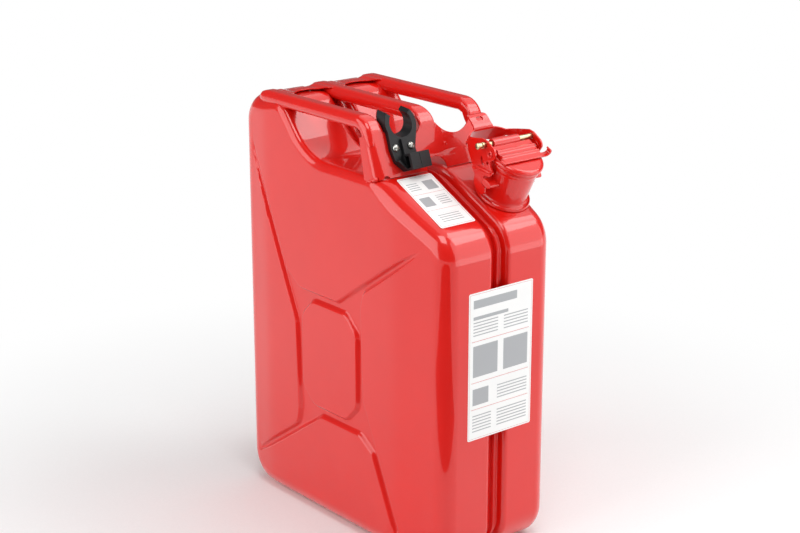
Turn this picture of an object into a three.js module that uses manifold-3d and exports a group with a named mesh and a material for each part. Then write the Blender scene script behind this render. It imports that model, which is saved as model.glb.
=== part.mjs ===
// Steel jerry can for 20 litres: two pressed half shells welded along a sunken seam, a three-bar
// handle, a filler neck with a hinged lid and a locking lever, and a plastic clip for the spout.
// Millimetres, +Z up, front towards -Y, origin at the middle of the base.

import * as THREE from 'three';
import { mergeVertices } from 'three/addons/utils/BufferGeometryUtils.js';
import Module from 'manifold-3d';

const wasm = await Module();
wasm.setup();

const degrees = THREE.MathUtils.degToRad;

// Gap kept between pieces that touch on the real can
const CLEARANCE = 0.3;

// Body, side view: y runs front to rear, z up
const BODY_WIDTH = 165;
const BODY_DEPTH = 345;
const HUMP_HEIGHT = 464;
const SADDLE_DEPTH = 55;
const SADDLE_HEIGHT = HUMP_HEIGHT - SADDLE_DEPTH;
const SHOULDER_ANGLE = degrees(26.4);
const SHOULDER_START_Y = -72;
const SHOULDER_RADIUS = 60;
const SADDLE_CENTRE_Y = 18;
const SADDLE_RADIUS = 70;
const FLANK_ANGLE = degrees(50);
const HUMP_RADIUS = 26;
const REAR_TOP_RADIUS = 34;
const FRONT_TOP_RADIUS = 38;
const BASE_RADIUS = 38;

// Body, front view: the pressed edge, the seam and the sheet
const SHEET = 0.9;
const EDGE_RADIUS = 20;
const FACE_MARGIN = 24;
const FACE_FRONT_Y = -100;
const FACE_REAR_Y = 125;
const FACET_SLOPE = 0.13;
const BODY_HUB = { y: 60, z: 200 };
const SEAM_HALF_WIDTH = 10;
const SEAM_DEPTH = 9;
const SEAM_LIP = 5;
const FLANGE_HEIGHT = 4.5;

// Pressed channels on the broad sides: a ring round a raised core and four arms
const PRESS_DEPTH = 4.5;
const PRESS_WALL = 5;
const PRESS_CENTRE = { y: 12, z: 189.5 };
const CORE_HALF_LENGTH = 46.5;
const CORE_HALF_HEIGHT = 58.5;
const CORE_CORNER = 18;
const RING_WIDTH = 14.5;
const LONG_ARM_SLOPE = 0.68;
const LONG_ARM_WIDTH = 12;
const STEEP_ARM_SLOPE = 2.2;
const STEEP_ARM_WIDTH = 13;
const PRESS_REACH = 320;

// Handle: three grips between a rear plate and a leaning front plate
const GRIP_RISE = 6;
const HANDLE_TOP = HUMP_HEIGHT + GRIP_RISE;
const HANDLE_SHEET = 1.5;
const GRIP_WIDTH = 21;
const GRIP_DEPTH = 15;
const GRIP_ROUND = 7;
const GRIP_SPACING = 69.5;
const GRIP_BEND = 26;
const GRIP_REAR_Y = 124;
const GRIP_NOTCH_Y = 88;
const FRONT_PLATE_FOOT_Y = -73;
const FRONT_PLATE_LEAN = degrees(21);
const FRONT_FLANGE = 24;
const FRONT_FLANGE_FOOT = 4;
const DIP_DEPTH = 13;
const FOOT_ARCH = 14;
const REAR_PLATE_FRONT_Y = 93;
const REAR_PLATE_REAR_Y = 130;
const REAR_PLATE_HALF_WIDTH = 75;
const REAR_ARCH = 14;

// Filler neck, in its own frame: z along the neck, -y to the front
const NECK_X = 45;
const NECK_Y = -124;
const NECK_WALL = 1.6;
const NECK_BASE_RADIUS = 24.6;
const NECK_TOP_RADIUS = 26;
const NECK_HEIGHT = 45;
const NECK_STUB = 5;
const NECK_LIP = 0.8;
const NECK_FLANGE_RADIUS = 30;
const NECK_FLANGE_HEIGHT = 4;
const LUG_HEIGHT = 7.5;
const LUG_Z = 24.8;
const LUG_REAR_Y = 2.6;
const LUG_TIP_Y = -12;
const LUG_REACH = 34.8;

// Lid, its hinge behind the neck, and the bridge on top
const LID_RADIUS = 30.8;
const LID_WALL = 1.5;
const LID_SKIRT = 8.6;
const GASKET_WIDTH = 3;
const GASKET_HEIGHT = 2.3;
const HINGE_Y = 37.5;
const HINGE_Z = 36;
const HINGE_PIN_RADIUS = 2.2;
const HINGE_PIN_LENGTH = 34;
const KNUCKLE_RADIUS = 4.4;
const LEAF_WIDTH = 18;
const LEAF_SHEET = 1.6;
const BRACKET_WIDTH = 30;
const BRIDGE_HALF_WIDTH = 26;
const BRIDGE_SHEET = 1.6;
const BRIDGE_FRONT_Y = -10;
const BARREL_RADIUS = 5;
const BARREL_LEFT = -24;
const BARREL_RIGHT = 12;
const EAR_REACH = 36;

// Locking lever and the pin it turns on
const PIVOT_Y = 19.2;
const PIVOT_Z = 57.3;
const LEVER_INNER = 31.5;
const LEVER_SHEET = 1.8;
const LEVER_TURN_Y = 26;
const LEVER_BACK_Y = 57.5;
const LEVER_RIM_DROP = 12.1;
const LEVER_WALL_HEIGHT = 5.7;
const LEVER_APRON = 9.5;
const THUMB_WIDTH = 25;
const THUMB_LENGTH = 18;
const THUMB_RISE = 5.8;
const THUMB_SLOT_LENGTH = 12;
const THUMB_SLOT_WIDTH = 4;
const PIN_RADIUS = 2.8;
const PIN_LENGTH = 69;
const PIN_HEAD_RADIUS = 4.2;
const PIN_HEAD_LENGTH = 11.5;
const RIVET_Y = 8.1;
const RIVET_Z = 53.5;
const RIVET_SHANK = 2.7;
const RIVET_BORE = 1.4;
const RIVET_HEAD = 4.1;
const RIVET_HEAD_HEIGHT = 0.9;

// Breather pipe inside the can
const BREATHER_RADIUS = 4;
const BREATHER_WALL = 1;

// Spout clip on the front plate, in the plate's frame: z up the plate, -y outwards
const CLIP_X = -42;
const JAW_X = 3.6;
const JAW_Z = 53.5;
const JAW_OUTER = 20.3;
const JAW_INNER = 14.5;
const JAW_OPENING = degrees(50);
const JAW_REACH = 8;
const JAW_RISE = 0.5;
const CLIP_BODY_DEPTH = 4.5;
const CLIP_FOOT_Z = 4;
const POCKET_LEFT = -4;
const POCKET_RIGHT = 21.5;
const POCKET_HEIGHT = 17;
const POCKET_DEPTH = 13;
const POCKET_WALL = 3.5;
const SCREW_SPREAD = 9.9;
const SCREW_Z = 29.2;
const SCREW_RADIUS = 2;
const SCREW_HEAD_RADIUS = 4;
const SCREW_HEAD_HEIGHT = 2.2;
const NUT_RADIUS = 4;
const NUT_HEIGHT = 3;

// Stickers
const STICKER = 0.3;
const FRONT_LABEL = { x: 1.5, z: 223, width: 88.5, height: 161 };
const SHOULDER_LABEL = { x: -37, y: -113, width: 46, length: 80 };

const ARC_STEPS = 4;
const EDGE_STEPS = 3;
const ROUND_STEPS = 18;

// Colours of the real finishes
const finish = (color, roughness, metalness) => {
  return new THREE.MeshStandardMaterial({ color, roughness, metalness });
};
const redPaint = () => finish(0xc8141a, 0.22, 0);
const blackPlastic = () => finish(0x2b2b2d, 0.55, 0);
const zincSteel = () => finish(0xc9c9c4, 0.35, 1);
const yellowZinc = () => finish(0xcbb678, 0.35, 1);
const rubber = () => finish(0x1c1c1c, 0.8, 0);
const whiteVinyl = () => finish(0xf4f4f2, 0.4, 0);

// A closed solid from any closed geometry: shared vertices merged, empty triangles dropped
function solid(geometry) {
  const bare = geometry.clone();
  bare.deleteAttribute('normal');
  bare.deleteAttribute('uv');
  const merged = mergeVertices(bare, 1e-4);
  const index = merged.index.array;
  const triVerts = [];
  for (let i = 0; i < index.length; i += 3) {
    const [a, b, c] = [index[i], index[i + 1], index[i + 2]];
    if (a !== b && b !== c && c !== a) triVerts.push(a, b, c);
  }
  const vertProperties = new Float32Array(merged.attributes.position.array);
  return new wasm.Manifold(
    new wasm.Mesh({ numProp: 3, vertProperties, triVerts: new Uint32Array(triVerts) }),
  );
}

// The drawable geometry of a solid
function geometryOf(shape) {
  const { vertProperties, triVerts } = shape.getMesh();
  const geometry = new THREE.BufferGeometry();
  geometry.setAttribute('position', new THREE.BufferAttribute(vertProperties, 3));
  geometry.setIndex(new THREE.BufferAttribute(triVerts, 1));
  geometry.computeVertexNormals();
  return geometry;
}

function piece(name, shape, material) {
  const mesh = new THREE.Mesh(geometryOf(shape), material);
  mesh.name = name;
  return mesh;
}

const union = (...solids) => solids.reduce((whole, part) => whole.add(part));
const cut = (whole, ...tools) => tools.reduce((rest, tool) => rest.subtract(tool), whole);

// Skin through rings of equal count, closed at each end by a flat outline or a ring drawn to a point
function loft(rings, firstCap = null, lastCap = null) {
  const count = rings[0].length;
  const faces = [];
  for (let r = 0; r + 1 < rings.length; r++) {
    for (let i = 0; i < count; i++) {
      const a = r * count + i;
      const b = r * count + ((i + 1) % count);
      faces.push(a, b, b + count, a, b + count, a + count);
    }
  }
  const last = (rings.length - 1) * count;
  const capped = (outline) => {
    const triangles = outline ? THREE.ShapeUtils.triangulateShape(outline, []) : [];
    if (outline && THREE.ShapeUtils.isClockWise(outline)) triangles.forEach((t) => t.reverse());
    return triangles;
  };
  for (const [a, b, c] of capped(firstCap)) faces.push(a, c, b);
  for (const [a, b, c] of capped(lastCap)) faces.push(last + a, last + b, last + c);
  const points = rings.flat();
  const volume = (list) => {
    let sum = 0;
    for (let i = 0; i < list.length; i += 3) {
      const [a, b, c] = [points[list[i]], points[list[i + 1]], points[list[i + 2]]];
      sum += a.dot(new THREE.Vector3().crossVectors(b, c));
    }
    return sum;
  };
  if (volume(faces) < 0) faces.reverse();
  const geometry = new THREE.BufferGeometry().setFromPoints(points);
  geometry.setIndex(faces);
  return solid(geometry);
}

const box = (x0, x1, y0, y1, z0, z1) => solid(
  new THREE.BoxGeometry(x1 - x0, y1 - y0, z1 - z0)
    .translate((x0 + x1) / 2, (y0 + y1) / 2, (z0 + z1) / 2),
);

// Outline with its corners rounded, as a shape in two coordinates
function roundedShape(points, radius) {
  const shape = new THREE.Shape();
  points.forEach((point, i) => {
    const corner = new THREE.Vector2(...point);
    const before = new THREE.Vector2(...points[(i + points.length - 1) % points.length]);
    const after = new THREE.Vector2(...points[(i + 1) % points.length]);
    const reach = (end) => Math.min(radius, corner.distanceTo(end) * 0.45);
    const start = corner.clone().add(before.clone().sub(corner).setLength(reach(before)));
    const finishPoint = corner.clone().add(after.clone().sub(corner).setLength(reach(after)));
    if (i === 0) shape.moveTo(start.x, start.y);
    else shape.lineTo(start.x, start.y);
    shape.quadraticCurveTo(corner.x, corner.y, finishPoint.x, finishPoint.y);
  });
  shape.closePath();
  return shape;
}

const plain = (points) => new THREE.Shape(points.map((p) => new THREE.Vector2(...p)));

// Extrusions: the shape's two coordinates become (y, z), (x, z) or (x, y)
const axes = {
  x: [new THREE.Vector3(0, 1, 0), new THREE.Vector3(0, 0, 1), new THREE.Vector3(1, 0, 0)],
  y: [new THREE.Vector3(1, 0, 0), new THREE.Vector3(0, 0, 1), new THREE.Vector3(0, -1, 0)],
  z: [new THREE.Vector3(1, 0, 0), new THREE.Vector3(0, 1, 0), new THREE.Vector3(0, 0, 1)],
};

function extrude(axis, shape, from, to, curveSegments = 3) {
  const geometry = new THREE.ExtrudeGeometry(shape, {
    depth: to - from,
    bevelEnabled: false,
    curveSegments,
  });
  geometry.applyMatrix4(new THREE.Matrix4().makeBasis(...axes[axis]));
  const shift = axis === 'y' ? to : from;
  geometry.translate(axis === 'x' ? shift : 0, axis === 'y' ? shift : 0, axis === 'z' ? shift : 0);
  return solid(geometry);
}

// Round bar along x through (y, z)
function roundBar(radius, x0, x1, y, z, sides = ROUND_STEPS) {
  const geometry = new THREE.CylinderGeometry(radius, radius, x1 - x0, sides);
  geometry.rotateZ(Math.PI / 2).translate((x0 + x1) / 2, y, z);
  return solid(geometry);
}

// Round bar along y through (x, z)
function roundPost(radius, y0, y1, x, z, sides = ROUND_STEPS) {
  return solid(new THREE.CylinderGeometry(radius, radius, y1 - y0, sides).translate(x, (y0 + y1) / 2, z));
}

// Body turned about z from a profile of [radius, z] that closes on itself or on the axis
function turned(profile, closed, steps = 2 * ROUND_STEPS) {
  const points = profile.map(([r, z]) => new THREE.Vector2(r, z));
  if (closed) points.push(points[0].clone());
  const geometry = new THREE.LatheGeometry(points, steps).rotateX(Math.PI / 2);
  const shape = solid(geometry);
  if (shape.volume() > 0) return shape;
  geometry.setIndex(Array.from(geometry.index.array).reverse());
  return solid(geometry);
}

// Side outline of the body as stations: a point and the way the wall faces there
// The depth is taken over the front sticker
const bodyFront = STICKER - BODY_DEPTH / 2;
const bodyRear = BODY_DEPTH / 2;
const faceX = BODY_WIDTH / 2;
const upright = Math.PI / 2;
const shoulderFacing = upright + SHOULDER_ANGLE;
const flankFacing = upright + FLANK_ANGLE;
const shoulderSlope = Math.tan(SHOULDER_ANGLE);
const shoulderZ = (y) => SADDLE_HEIGHT + (y - SHOULDER_START_Y) * shoulderSlope;
const frontTurn = FRONT_TOP_RADIUS * Math.tan((Math.PI - shoulderFacing) / 2);
const flankLow = {
  y: SADDLE_CENTRE_Y + SADDLE_RADIUS * Math.sin(FLANK_ANGLE),
  z: SADDLE_HEIGHT + SADDLE_RADIUS * (1 - Math.cos(FLANK_ANGLE)),
};
const flankRise = HUMP_HEIGHT - HUMP_RADIUS * (1 - Math.cos(FLANK_ANGLE)) - flankLow.z;
const humpY = flankLow.y + flankRise / Math.tan(FLANK_ANGLE) + HUMP_RADIUS * Math.sin(FLANK_ANGLE);
const shoulderArc = {
  y: SHOULDER_START_Y + SHOULDER_RADIUS * Math.tan(SHOULDER_ANGLE / 2),
  z: SADDLE_HEIGHT - SHOULDER_RADIUS,
};

const station = (y, z, facing) => ({ y, z, ny: Math.cos(facing), nz: Math.sin(facing) });

function arc(y, z, radius, from, to, hollow = false) {
  const side = hollow ? -1 : 1;
  return Array.from({ length: ARC_STEPS + 1 }, (_, i) => {
    const facing = from + ((to - from) * i) / ARC_STEPS;
    return station(y + side * radius * Math.cos(facing), z + side * radius * Math.sin(facing), facing);
  });
}

const bodyStations = [
  station(FACE_FRONT_Y, 0, -upright),
  station(FACE_REAR_Y, 0, -upright),
  ...arc(bodyRear - BASE_RADIUS, BASE_RADIUS, BASE_RADIUS, -upright, 0),
  ...arc(bodyRear - REAR_TOP_RADIUS, HUMP_HEIGHT - REAR_TOP_RADIUS, REAR_TOP_RADIUS, 0, upright),
  station(FACE_REAR_Y, HUMP_HEIGHT, upright),
  ...arc(humpY, HUMP_HEIGHT - HUMP_RADIUS, HUMP_RADIUS, upright, flankFacing),
  ...arc(SADDLE_CENTRE_Y, SADDLE_HEIGHT + SADDLE_RADIUS, SADDLE_RADIUS, flankFacing, upright, true),
  ...arc(shoulderArc.y, shoulderArc.z, SHOULDER_RADIUS, upright, shoulderFacing),
  station(
    FACE_FRONT_Y + EDGE_RADIUS * Math.cos(shoulderFacing),
    shoulderZ(FACE_FRONT_Y + EDGE_RADIUS * Math.cos(shoulderFacing)),
    shoulderFacing,
  ),
  ...arc(
    bodyFront + FRONT_TOP_RADIUS, shoulderZ(bodyFront) - frontTurn,
    FRONT_TOP_RADIUS, shoulderFacing, Math.PI,
  ),
  ...arc(bodyFront + BASE_RADIUS, BASE_RADIUS, BASE_RADIUS, Math.PI, Math.PI + upright),
];

// Height of the body's top on the rounded step between saddle and shoulder
function shoulderTop(y) {
  return shoulderArc.z + Math.sqrt(SHOULDER_RADIUS ** 2 - (y - shoulderArc.y) ** 2);
}

const inset = (s, depth) => ({ y: s.y - depth * s.ny, z: s.z - depth * s.nz });

// How far the side facets fall back from the flat face, before and behind it
function facetDrop(s) {
  const { y } = inset(s, EDGE_RADIUS);
  return FACET_SLOPE * (Math.max(0, y - FACE_REAR_Y) + Math.max(0, FACE_FRONT_Y - y));
}

// Solid inside one skin of the right half: seam profile of [depth, x], rounded edge, flat face
function halfSkin(seam, skin) {
  const ring = (depthAt, xAt) => bodyStations.map((s) => {
    const p = inset(s, depthAt(s));
    return new THREE.Vector3(xAt(s), p.y, p.z);
  });
  const rings = seam.map(([depth, x]) => ring(() => depth, () => x));
  const radius = EDGE_RADIUS - skin;
  for (let i = 0; i <= EDGE_STEPS; i++) {
    const turn = (upright * i) / EDGE_STEPS;
    rings.push(ring(
      () => skin + radius * (1 - Math.cos(turn)),
      (s) => faceX - facetDrop(s) - EDGE_RADIUS + radius * Math.sin(turn),
    ));
  }
  rings.push(ring(() => FACE_MARGIN, () => faceX - skin).map((p) => {
    p.y = THREE.MathUtils.clamp(p.y, FACE_FRONT_Y, FACE_REAR_Y);
    return p;
  }));
  const closing = (list) => list.map((p) => new THREE.Vector3(p.x, BODY_HUB.y, BODY_HUB.z));
  return loft([closing(rings[0]), ...rings, closing(rings[rings.length - 1])]);
}

// Outline moved outwards by a distance, corners kept sharp
function grown(points, distance) {
  const area = points.reduce((sum, [ax, ay], i) => {
    const [bx, by] = points[(i + 1) % points.length];
    return sum + ax * by - bx * ay;
  }, 0);
  const side = area > 0 ? distance : -distance;
  const edges = points.map(([ax, ay], i) => {
    const [bx, by] = points[(i + 1) % points.length];
    const length = Math.hypot(bx - ax, by - ay);
    const [dx, dy] = [(bx - ax) / length, (by - ay) / length];
    return { x: ax + side * dy, y: ay - side * dx, dx, dy };
  });
  return edges.map((edge, i) => {
    const last = edges[(i + edges.length - 1) % edges.length];
    const cross = last.dx * edge.dy - last.dy * edge.dx;
    const along = ((edge.x - last.x) * edge.dy - (edge.y - last.y) * edge.dx) / cross;
    return [last.x + last.dx * along, last.y + last.dy * along];
  });
}

// The five raised panels of a broad side, about the middle of the pressing
function raisedPanels() {
  const length = CORE_HALF_LENGTH;
  const height = CORE_HALF_HEIGHT;
  const outerLength = length + RING_WIDTH;
  const outerHeight = height + RING_WIDTH;
  const core = [
    [length, height - CORE_CORNER], [length - CORE_CORNER, height],
    [CORE_CORNER - length, height], [-length, height - CORE_CORNER],
    [-length, CORE_CORNER - height], [CORE_CORNER - length, -height],
    [length - CORE_CORNER, -height], [length, CORE_CORNER - height],
  ];
  const longRise = (run) => LONG_ARM_SLOPE * run;
  const longOffset = LONG_ARM_WIDTH * Math.hypot(1, LONG_ARM_SLOPE);
  const steepOffset = STEEP_ARM_WIDTH * Math.hypot(1, 1 / STEEP_ARM_SLOPE);
  const longStart = -RING_WIDTH;
  const steepStart = height / 2;
  const longReach = longRise(PRESS_REACH + longStart);
  const longFoot = longStart - (longOffset + RING_WIDTH / 2) / LONG_ARM_SLOPE - RING_WIDTH;
  const longFootZ = outerHeight + longRise(longStart - longFoot) - longOffset;
  const steepEnd = outerLength + (PRESS_REACH - steepStart) / STEEP_ARM_SLOPE;
  const steepFootZ = outerHeight + RING_WIDTH;
  const steepFoot = outerLength + (steepFootZ - steepStart) / STEEP_ARM_SLOPE - steepOffset;
  const top = [
    [longStart, outerHeight], [-PRESS_REACH, outerHeight + longReach], [-PRESS_REACH, PRESS_REACH * 2],
    [PRESS_REACH, PRESS_REACH * 2], [steepEnd - steepOffset, PRESS_REACH],
    [steepFoot, steepFootZ], [outerLength - CORE_CORNER / 2, outerHeight],
  ];
  const front = [
    [longFoot, longFootZ], [RING_WIDTH / 4 - outerLength, outerHeight], [-outerLength, -steepStart],
    [-steepEnd, -PRESS_REACH], [-PRESS_REACH * 2, -PRESS_REACH],
    [-PRESS_REACH * 2, PRESS_REACH], [-PRESS_REACH, outerHeight + longReach - longOffset],
  ];
  const opposite = (points) => points.map(([y, z]) => [-y, -z]);
  return [core, top, front, opposite(top), opposite(front)]
    .map((points) => points.map(([y, z]) => [PRESS_CENTRE.y + y, PRESS_CENTRE.z + z]));
}

// Everything that the pressing takes away from one skin of the right half
function pressedChannels(skin) {
  const floor = faceX - PRESS_DEPTH - skin;
  const above = faceX + PRESS_DEPTH;
  const shrink = skin * (Math.SQRT2 - 1);
  const lean = PRESS_WALL / PRESS_DEPTH;
  const panels = raisedPanels().map((points) => {
    const at = (x) => grown(points, lean * (faceX - skin - x) - shrink);
    const rings = [floor - SHEET, above].map((x) => at(x).map(([y, z]) => new THREE.Vector3(x, y, z)));
    const flat = (list) => list.map((p) => new THREE.Vector2(p.y, p.z));
    return loft(rings, flat(rings[0]), flat(rings[1]));
  });
  const slab = box(floor, above - SHEET, bodyFront, bodyRear, 0, HANDLE_TOP);
  return cut(slab, ...panels);
}

function halfShell() {
  const edge = CLEARANCE / 2;
  const lip = SEAM_HALF_WIDTH + SEAM_LIP;
  const stand = SEAM_DEPTH - FLANGE_HEIGHT;
  const outside = halfSkin([
    [stand, edge], [stand, edge + SHEET], [SEAM_DEPTH, edge + SHEET],
    [SEAM_DEPTH, SEAM_HALF_WIDTH - SEAM_LIP / 3], [SEAM_LIP * 0.6, SEAM_HALF_WIDTH],
    [SEAM_LIP * 0.15, SEAM_HALF_WIDTH + SEAM_LIP * 0.45], [0, lip],
  ], 0);
  const inside = halfSkin([
    [SEAM_DEPTH + SHEET, -SHEET], [SEAM_DEPTH + SHEET, SEAM_HALF_WIDTH - SEAM_LIP / 3 + SHEET],
    [SEAM_LIP * 0.6 + SHEET * 0.5, SEAM_HALF_WIDTH + SHEET],
    [SEAM_LIP * 0.15 + SHEET, SEAM_HALF_WIDTH + SEAM_LIP * 0.45 + SHEET * 0.5], [SHEET, lip + SHEET / 2],
  ], SHEET);
  return cut(cut(outside, pressedChannels(0)), cut(inside, pressedChannels(SHEET)));
}

const mirrored = (shape) => shape.mirror([1, 0, 0]);

// Frame of the filler neck: its foot on the shoulder, its axis square to it
const neckFrame = new THREE.Group();
neckFrame.position.set(NECK_X, NECK_Y, shoulderZ(NECK_Y));
neckFrame.rotation.x = SHOULDER_ANGLE;
neckFrame.updateMatrixWorld();

const neckOuter = (z) => NECK_BASE_RADIUS + ((NECK_TOP_RADIUS - NECK_BASE_RADIUS) * z) / NECK_HEIGHT;

// Cone just outside the neck, which pieces seated on the neck are cut by
function neckCone() {
  const reach = NECK_HEIGHT + NECK_STUB;
  const radius = (z) => neckOuter(z) + CLEARANCE;
  const geometry = new THREE.CylinderGeometry(
    radius(NECK_HEIGHT), radius(-NECK_STUB), reach, ROUND_STEPS * 2,
  );
  return solid(geometry.rotateX(Math.PI / 2).translate(0, 0, NECK_HEIGHT - reach / 2));
}

function shells() {
  const half = halfShell();
  const hole = new THREE.CylinderGeometry(
    NECK_BASE_RADIUS + CLEARANCE, NECK_BASE_RADIUS + CLEARANCE, NECK_HEIGHT * 2, ROUND_STEPS * 2,
  ).rotateX(Math.PI / 2).applyMatrix4(neckFrame.matrixWorld);
  return [
    piece('left_half_shell', mirrored(half), redPaint()),
    piece('right_half_shell', cut(half, solid(hole)), redPaint()),
  ];
}

// Foot of the front plate, just clear of the body, and the plate's directions in side view
const plateFoot = {
  y: FRONT_PLATE_FOOT_Y,
  z: shoulderTop(FRONT_PLATE_FOOT_Y + HANDLE_SHEET * Math.cos(FRONT_PLATE_LEAN))
    + HANDLE_SHEET * Math.sin(FRONT_PLATE_LEAN) + CLEARANCE,
};
const plateFacing = Math.PI - FRONT_PLATE_LEAN;
const bendCentre = { z: HANDLE_TOP - GRIP_BEND };
bendCentre.y = plateFoot.y
  + (GRIP_BEND + Math.sin(FRONT_PLATE_LEAN) * (bendCentre.z - plateFoot.z)) / Math.cos(FRONT_PLATE_LEAN);
const bendFoot = bendCentre.z + GRIP_BEND * Math.sin(plateFacing);
const plateHeight = (bendFoot - plateFoot.z) / Math.cos(FRONT_PLATE_LEAN);

const plateFrame = new THREE.Group();
plateFrame.position.set(0, plateFoot.y, plateFoot.z);
plateFrame.rotation.x = -FRONT_PLATE_LEAN;

// Rounded section of a grip, width across and height along the way it faces
function gripSection(width, height, radius) {
  const corner = Math.min(radius, height / 2, width / 2);
  const points = [];
  for (let quarter = 0; quarter < 4; quarter++) {
    const sx = quarter === 0 || quarter === 3 ? 1 : -1;
    const sz = quarter < 2 ? 1 : -1;
    for (let i = 0; i <= EDGE_STEPS; i++) {
      const turn = upright * (quarter + i / EDGE_STEPS);
      points.push(new THREE.Vector2(
        sx * (width / 2 - corner) + corner * Math.cos(turn),
        sz * (height / 2 - corner) + corner * Math.sin(turn),
      ));
    }
  }
  return points;
}

// Grip bar: straight along the top, bent down to the front plate
function gripBar(section, extra) {
  const middle = GRIP_DEPTH / 2;
  const route = [{ y: GRIP_REAR_Y + extra, z: HANDLE_TOP - middle, facing: upright }];
  for (let i = 0; i <= EDGE_STEPS; i++) {
    const facing = upright + ((plateFacing - upright) * i) / EDGE_STEPS;
    const radius = GRIP_BEND - middle;
    route.push({
      y: bendCentre.y + radius * Math.cos(facing),
      z: bendCentre.z + radius * Math.sin(facing),
      facing,
    });
  }
  const tail = route[route.length - 1];
  const drop = extra - CLEARANCE;
  tail.y -= drop * Math.sin(FRONT_PLATE_LEAN);
  tail.z -= drop * Math.cos(FRONT_PLATE_LEAN);
  const rings = route.map(({ y, z, facing }) => section.map((p) => new THREE.Vector3(
    p.x, y + p.y * Math.cos(facing), z + p.y * Math.sin(facing),
  )));
  return loft(rings, section, section);
}

function grips() {
  const outer = gripBar(gripSection(GRIP_WIDTH, GRIP_DEPTH, GRIP_ROUND), 0);
  const wall = 2 * HANDLE_SHEET;
  const bore = gripBar(gripSection(GRIP_WIDTH - wall, GRIP_DEPTH - wall, GRIP_ROUND - HANDLE_SHEET), 2);
  const plateTop = HUMP_HEIGHT + CLEARANCE + HANDLE_SHEET;
  const notch = box(
    -GRIP_WIDTH, GRIP_WIDTH, GRIP_NOTCH_Y, GRIP_REAR_Y + GRIP_WIDTH,
    HANDLE_TOP - 2 * GRIP_DEPTH, plateTop + CLEARANCE,
  );
  const bar = cut(outer, bore, notch);
  return [['left', -1], ['centre', 0], ['right', 1]].map(([side, place]) => {
    const grip = piece(`handle_grip_${side}`, bar, redPaint());
    grip.position.x = place * GRIP_SPACING;
    return grip;
  });
}

function rearPlate() {
  const reach = REAR_PLATE_HALF_WIDTH;
  const inner = GRIP_WIDTH / 2;
  const outer = GRIP_SPACING - GRIP_WIDTH / 2;
  const [front, rear] = [REAR_PLATE_FRONT_Y, REAR_PLATE_REAR_Y];
  const shape = new THREE.Shape();
  shape.moveTo(-reach, front);
  shape.lineTo(-outer, front);
  shape.quadraticCurveTo(-GRIP_SPACING / 2, front + 2 * REAR_ARCH, -inner, front);
  shape.lineTo(inner, front);
  shape.quadraticCurveTo(GRIP_SPACING / 2, front + 2 * REAR_ARCH, outer, front);
  shape.lineTo(reach, front);
  shape.lineTo(reach, rear);
  shape.lineTo(-reach, rear);
  shape.closePath();
  const foot = HUMP_HEIGHT + CLEARANCE;
  return piece('handle_rear_plate', extrude('z', shape, foot, foot + HANDLE_SHEET), redPaint());
}

function frontPlate() {
  const reach = GRIP_SPACING + GRIP_WIDTH / 2;
  const inner = GRIP_WIDTH / 2;
  const outer = GRIP_SPACING - GRIP_WIDTH / 2;
  const dip = (shape, from, to) => {
    const side = (to - from) / 4;
    const low = plateHeight - 1.4 * DIP_DEPTH;
    shape.bezierCurveTo(from + side, low, to - side, low, to, plateHeight);
  };
  const shape = new THREE.Shape();
  shape.moveTo(reach, 0);
  shape.lineTo(reach, plateHeight);
  shape.lineTo(outer, plateHeight);
  dip(shape, outer, inner);
  shape.lineTo(-inner, plateHeight);
  dip(shape, -inner, -outer);
  shape.lineTo(-reach, plateHeight);
  shape.lineTo(-reach, 0);
  shape.lineTo(-FOOT_ARCH, 0);
  shape.absarc(0, 0, FOOT_ARCH, Math.PI, 0, true);
  shape.closePath();
  const sheet = extrude('y', shape, 0, HANDLE_SHEET);
  const flange = (x) => box(x, x + HANDLE_SHEET, 0, FRONT_FLANGE, FRONT_FLANGE_FOOT, plateHeight);
  const holes = [-1, 1].map((side) => roundPost(
    SCREW_RADIUS + CLEARANCE, -HANDLE_SHEET, 2 * HANDLE_SHEET, CLIP_X + side * SCREW_SPREAD, SCREW_Z,
  ));
  const plate = cut(union(sheet, flange(-reach), flange(reach - HANDLE_SHEET)), ...holes);
  return piece('handle_front_plate', plate, redPaint());
}

function fillerNeck() {
  const base = NECK_BASE_RADIUS;
  const top = neckOuter(NECK_HEIGHT - 6);
  const foot = CLEARANCE;
  const inner = (z) => neckOuter(z) - NECK_WALL;
  const profile = [
    [base, -NECK_STUB], [base, foot], [NECK_FLANGE_RADIUS, foot],
    [NECK_FLANGE_RADIUS, foot + NECK_FLANGE_HEIGHT / 3],
    [NECK_FLANGE_RADIUS - 2, foot + NECK_FLANGE_HEIGHT * 0.7],
    [neckOuter(NECK_FLANGE_HEIGHT) + 1, NECK_FLANGE_HEIGHT],
    [neckOuter(NECK_FLANGE_HEIGHT + 2), NECK_FLANGE_HEIGHT + 2], [top, NECK_HEIGHT - 6],
    [top + NECK_LIP, NECK_HEIGHT - 4], [top + NECK_LIP, NECK_HEIGHT - 1.5],
    [top - NECK_WALL / 2, NECK_HEIGHT], [inner(NECK_HEIGHT), NECK_HEIGHT - 1], [inner(0), -NECK_STUB],
  ];
  return piece('filler_neck', turned(profile, true), redPaint());
}

function neckLugs() {
  const rise = LUG_HEIGHT / 2;
  const outline = roundedShape([
    [LUG_REAR_Y, LUG_Z - rise], [LUG_REAR_Y, LUG_Z + rise],
    [LUG_TIP_Y + LUG_HEIGHT * 0.7, LUG_Z + rise], [LUG_TIP_Y, LUG_Z],
    [LUG_TIP_Y + LUG_HEIGHT * 0.7, LUG_Z - rise],
  ], 1.5);
  const lug = cut(extrude('x', outline, NECK_BASE_RADIUS - LUG_HEIGHT, LUG_REACH), neckCone());
  return [
    piece('neck_lug_left', mirrored(lug), redPaint()),
    piece('neck_lug_right', lug, redPaint()),
  ];
}

const lidTop = NECK_HEIGHT + CLEARANCE + GASKET_HEIGHT + CLEARANCE + LID_WALL;
const lidFoot = lidTop - LID_SKIRT;

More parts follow.
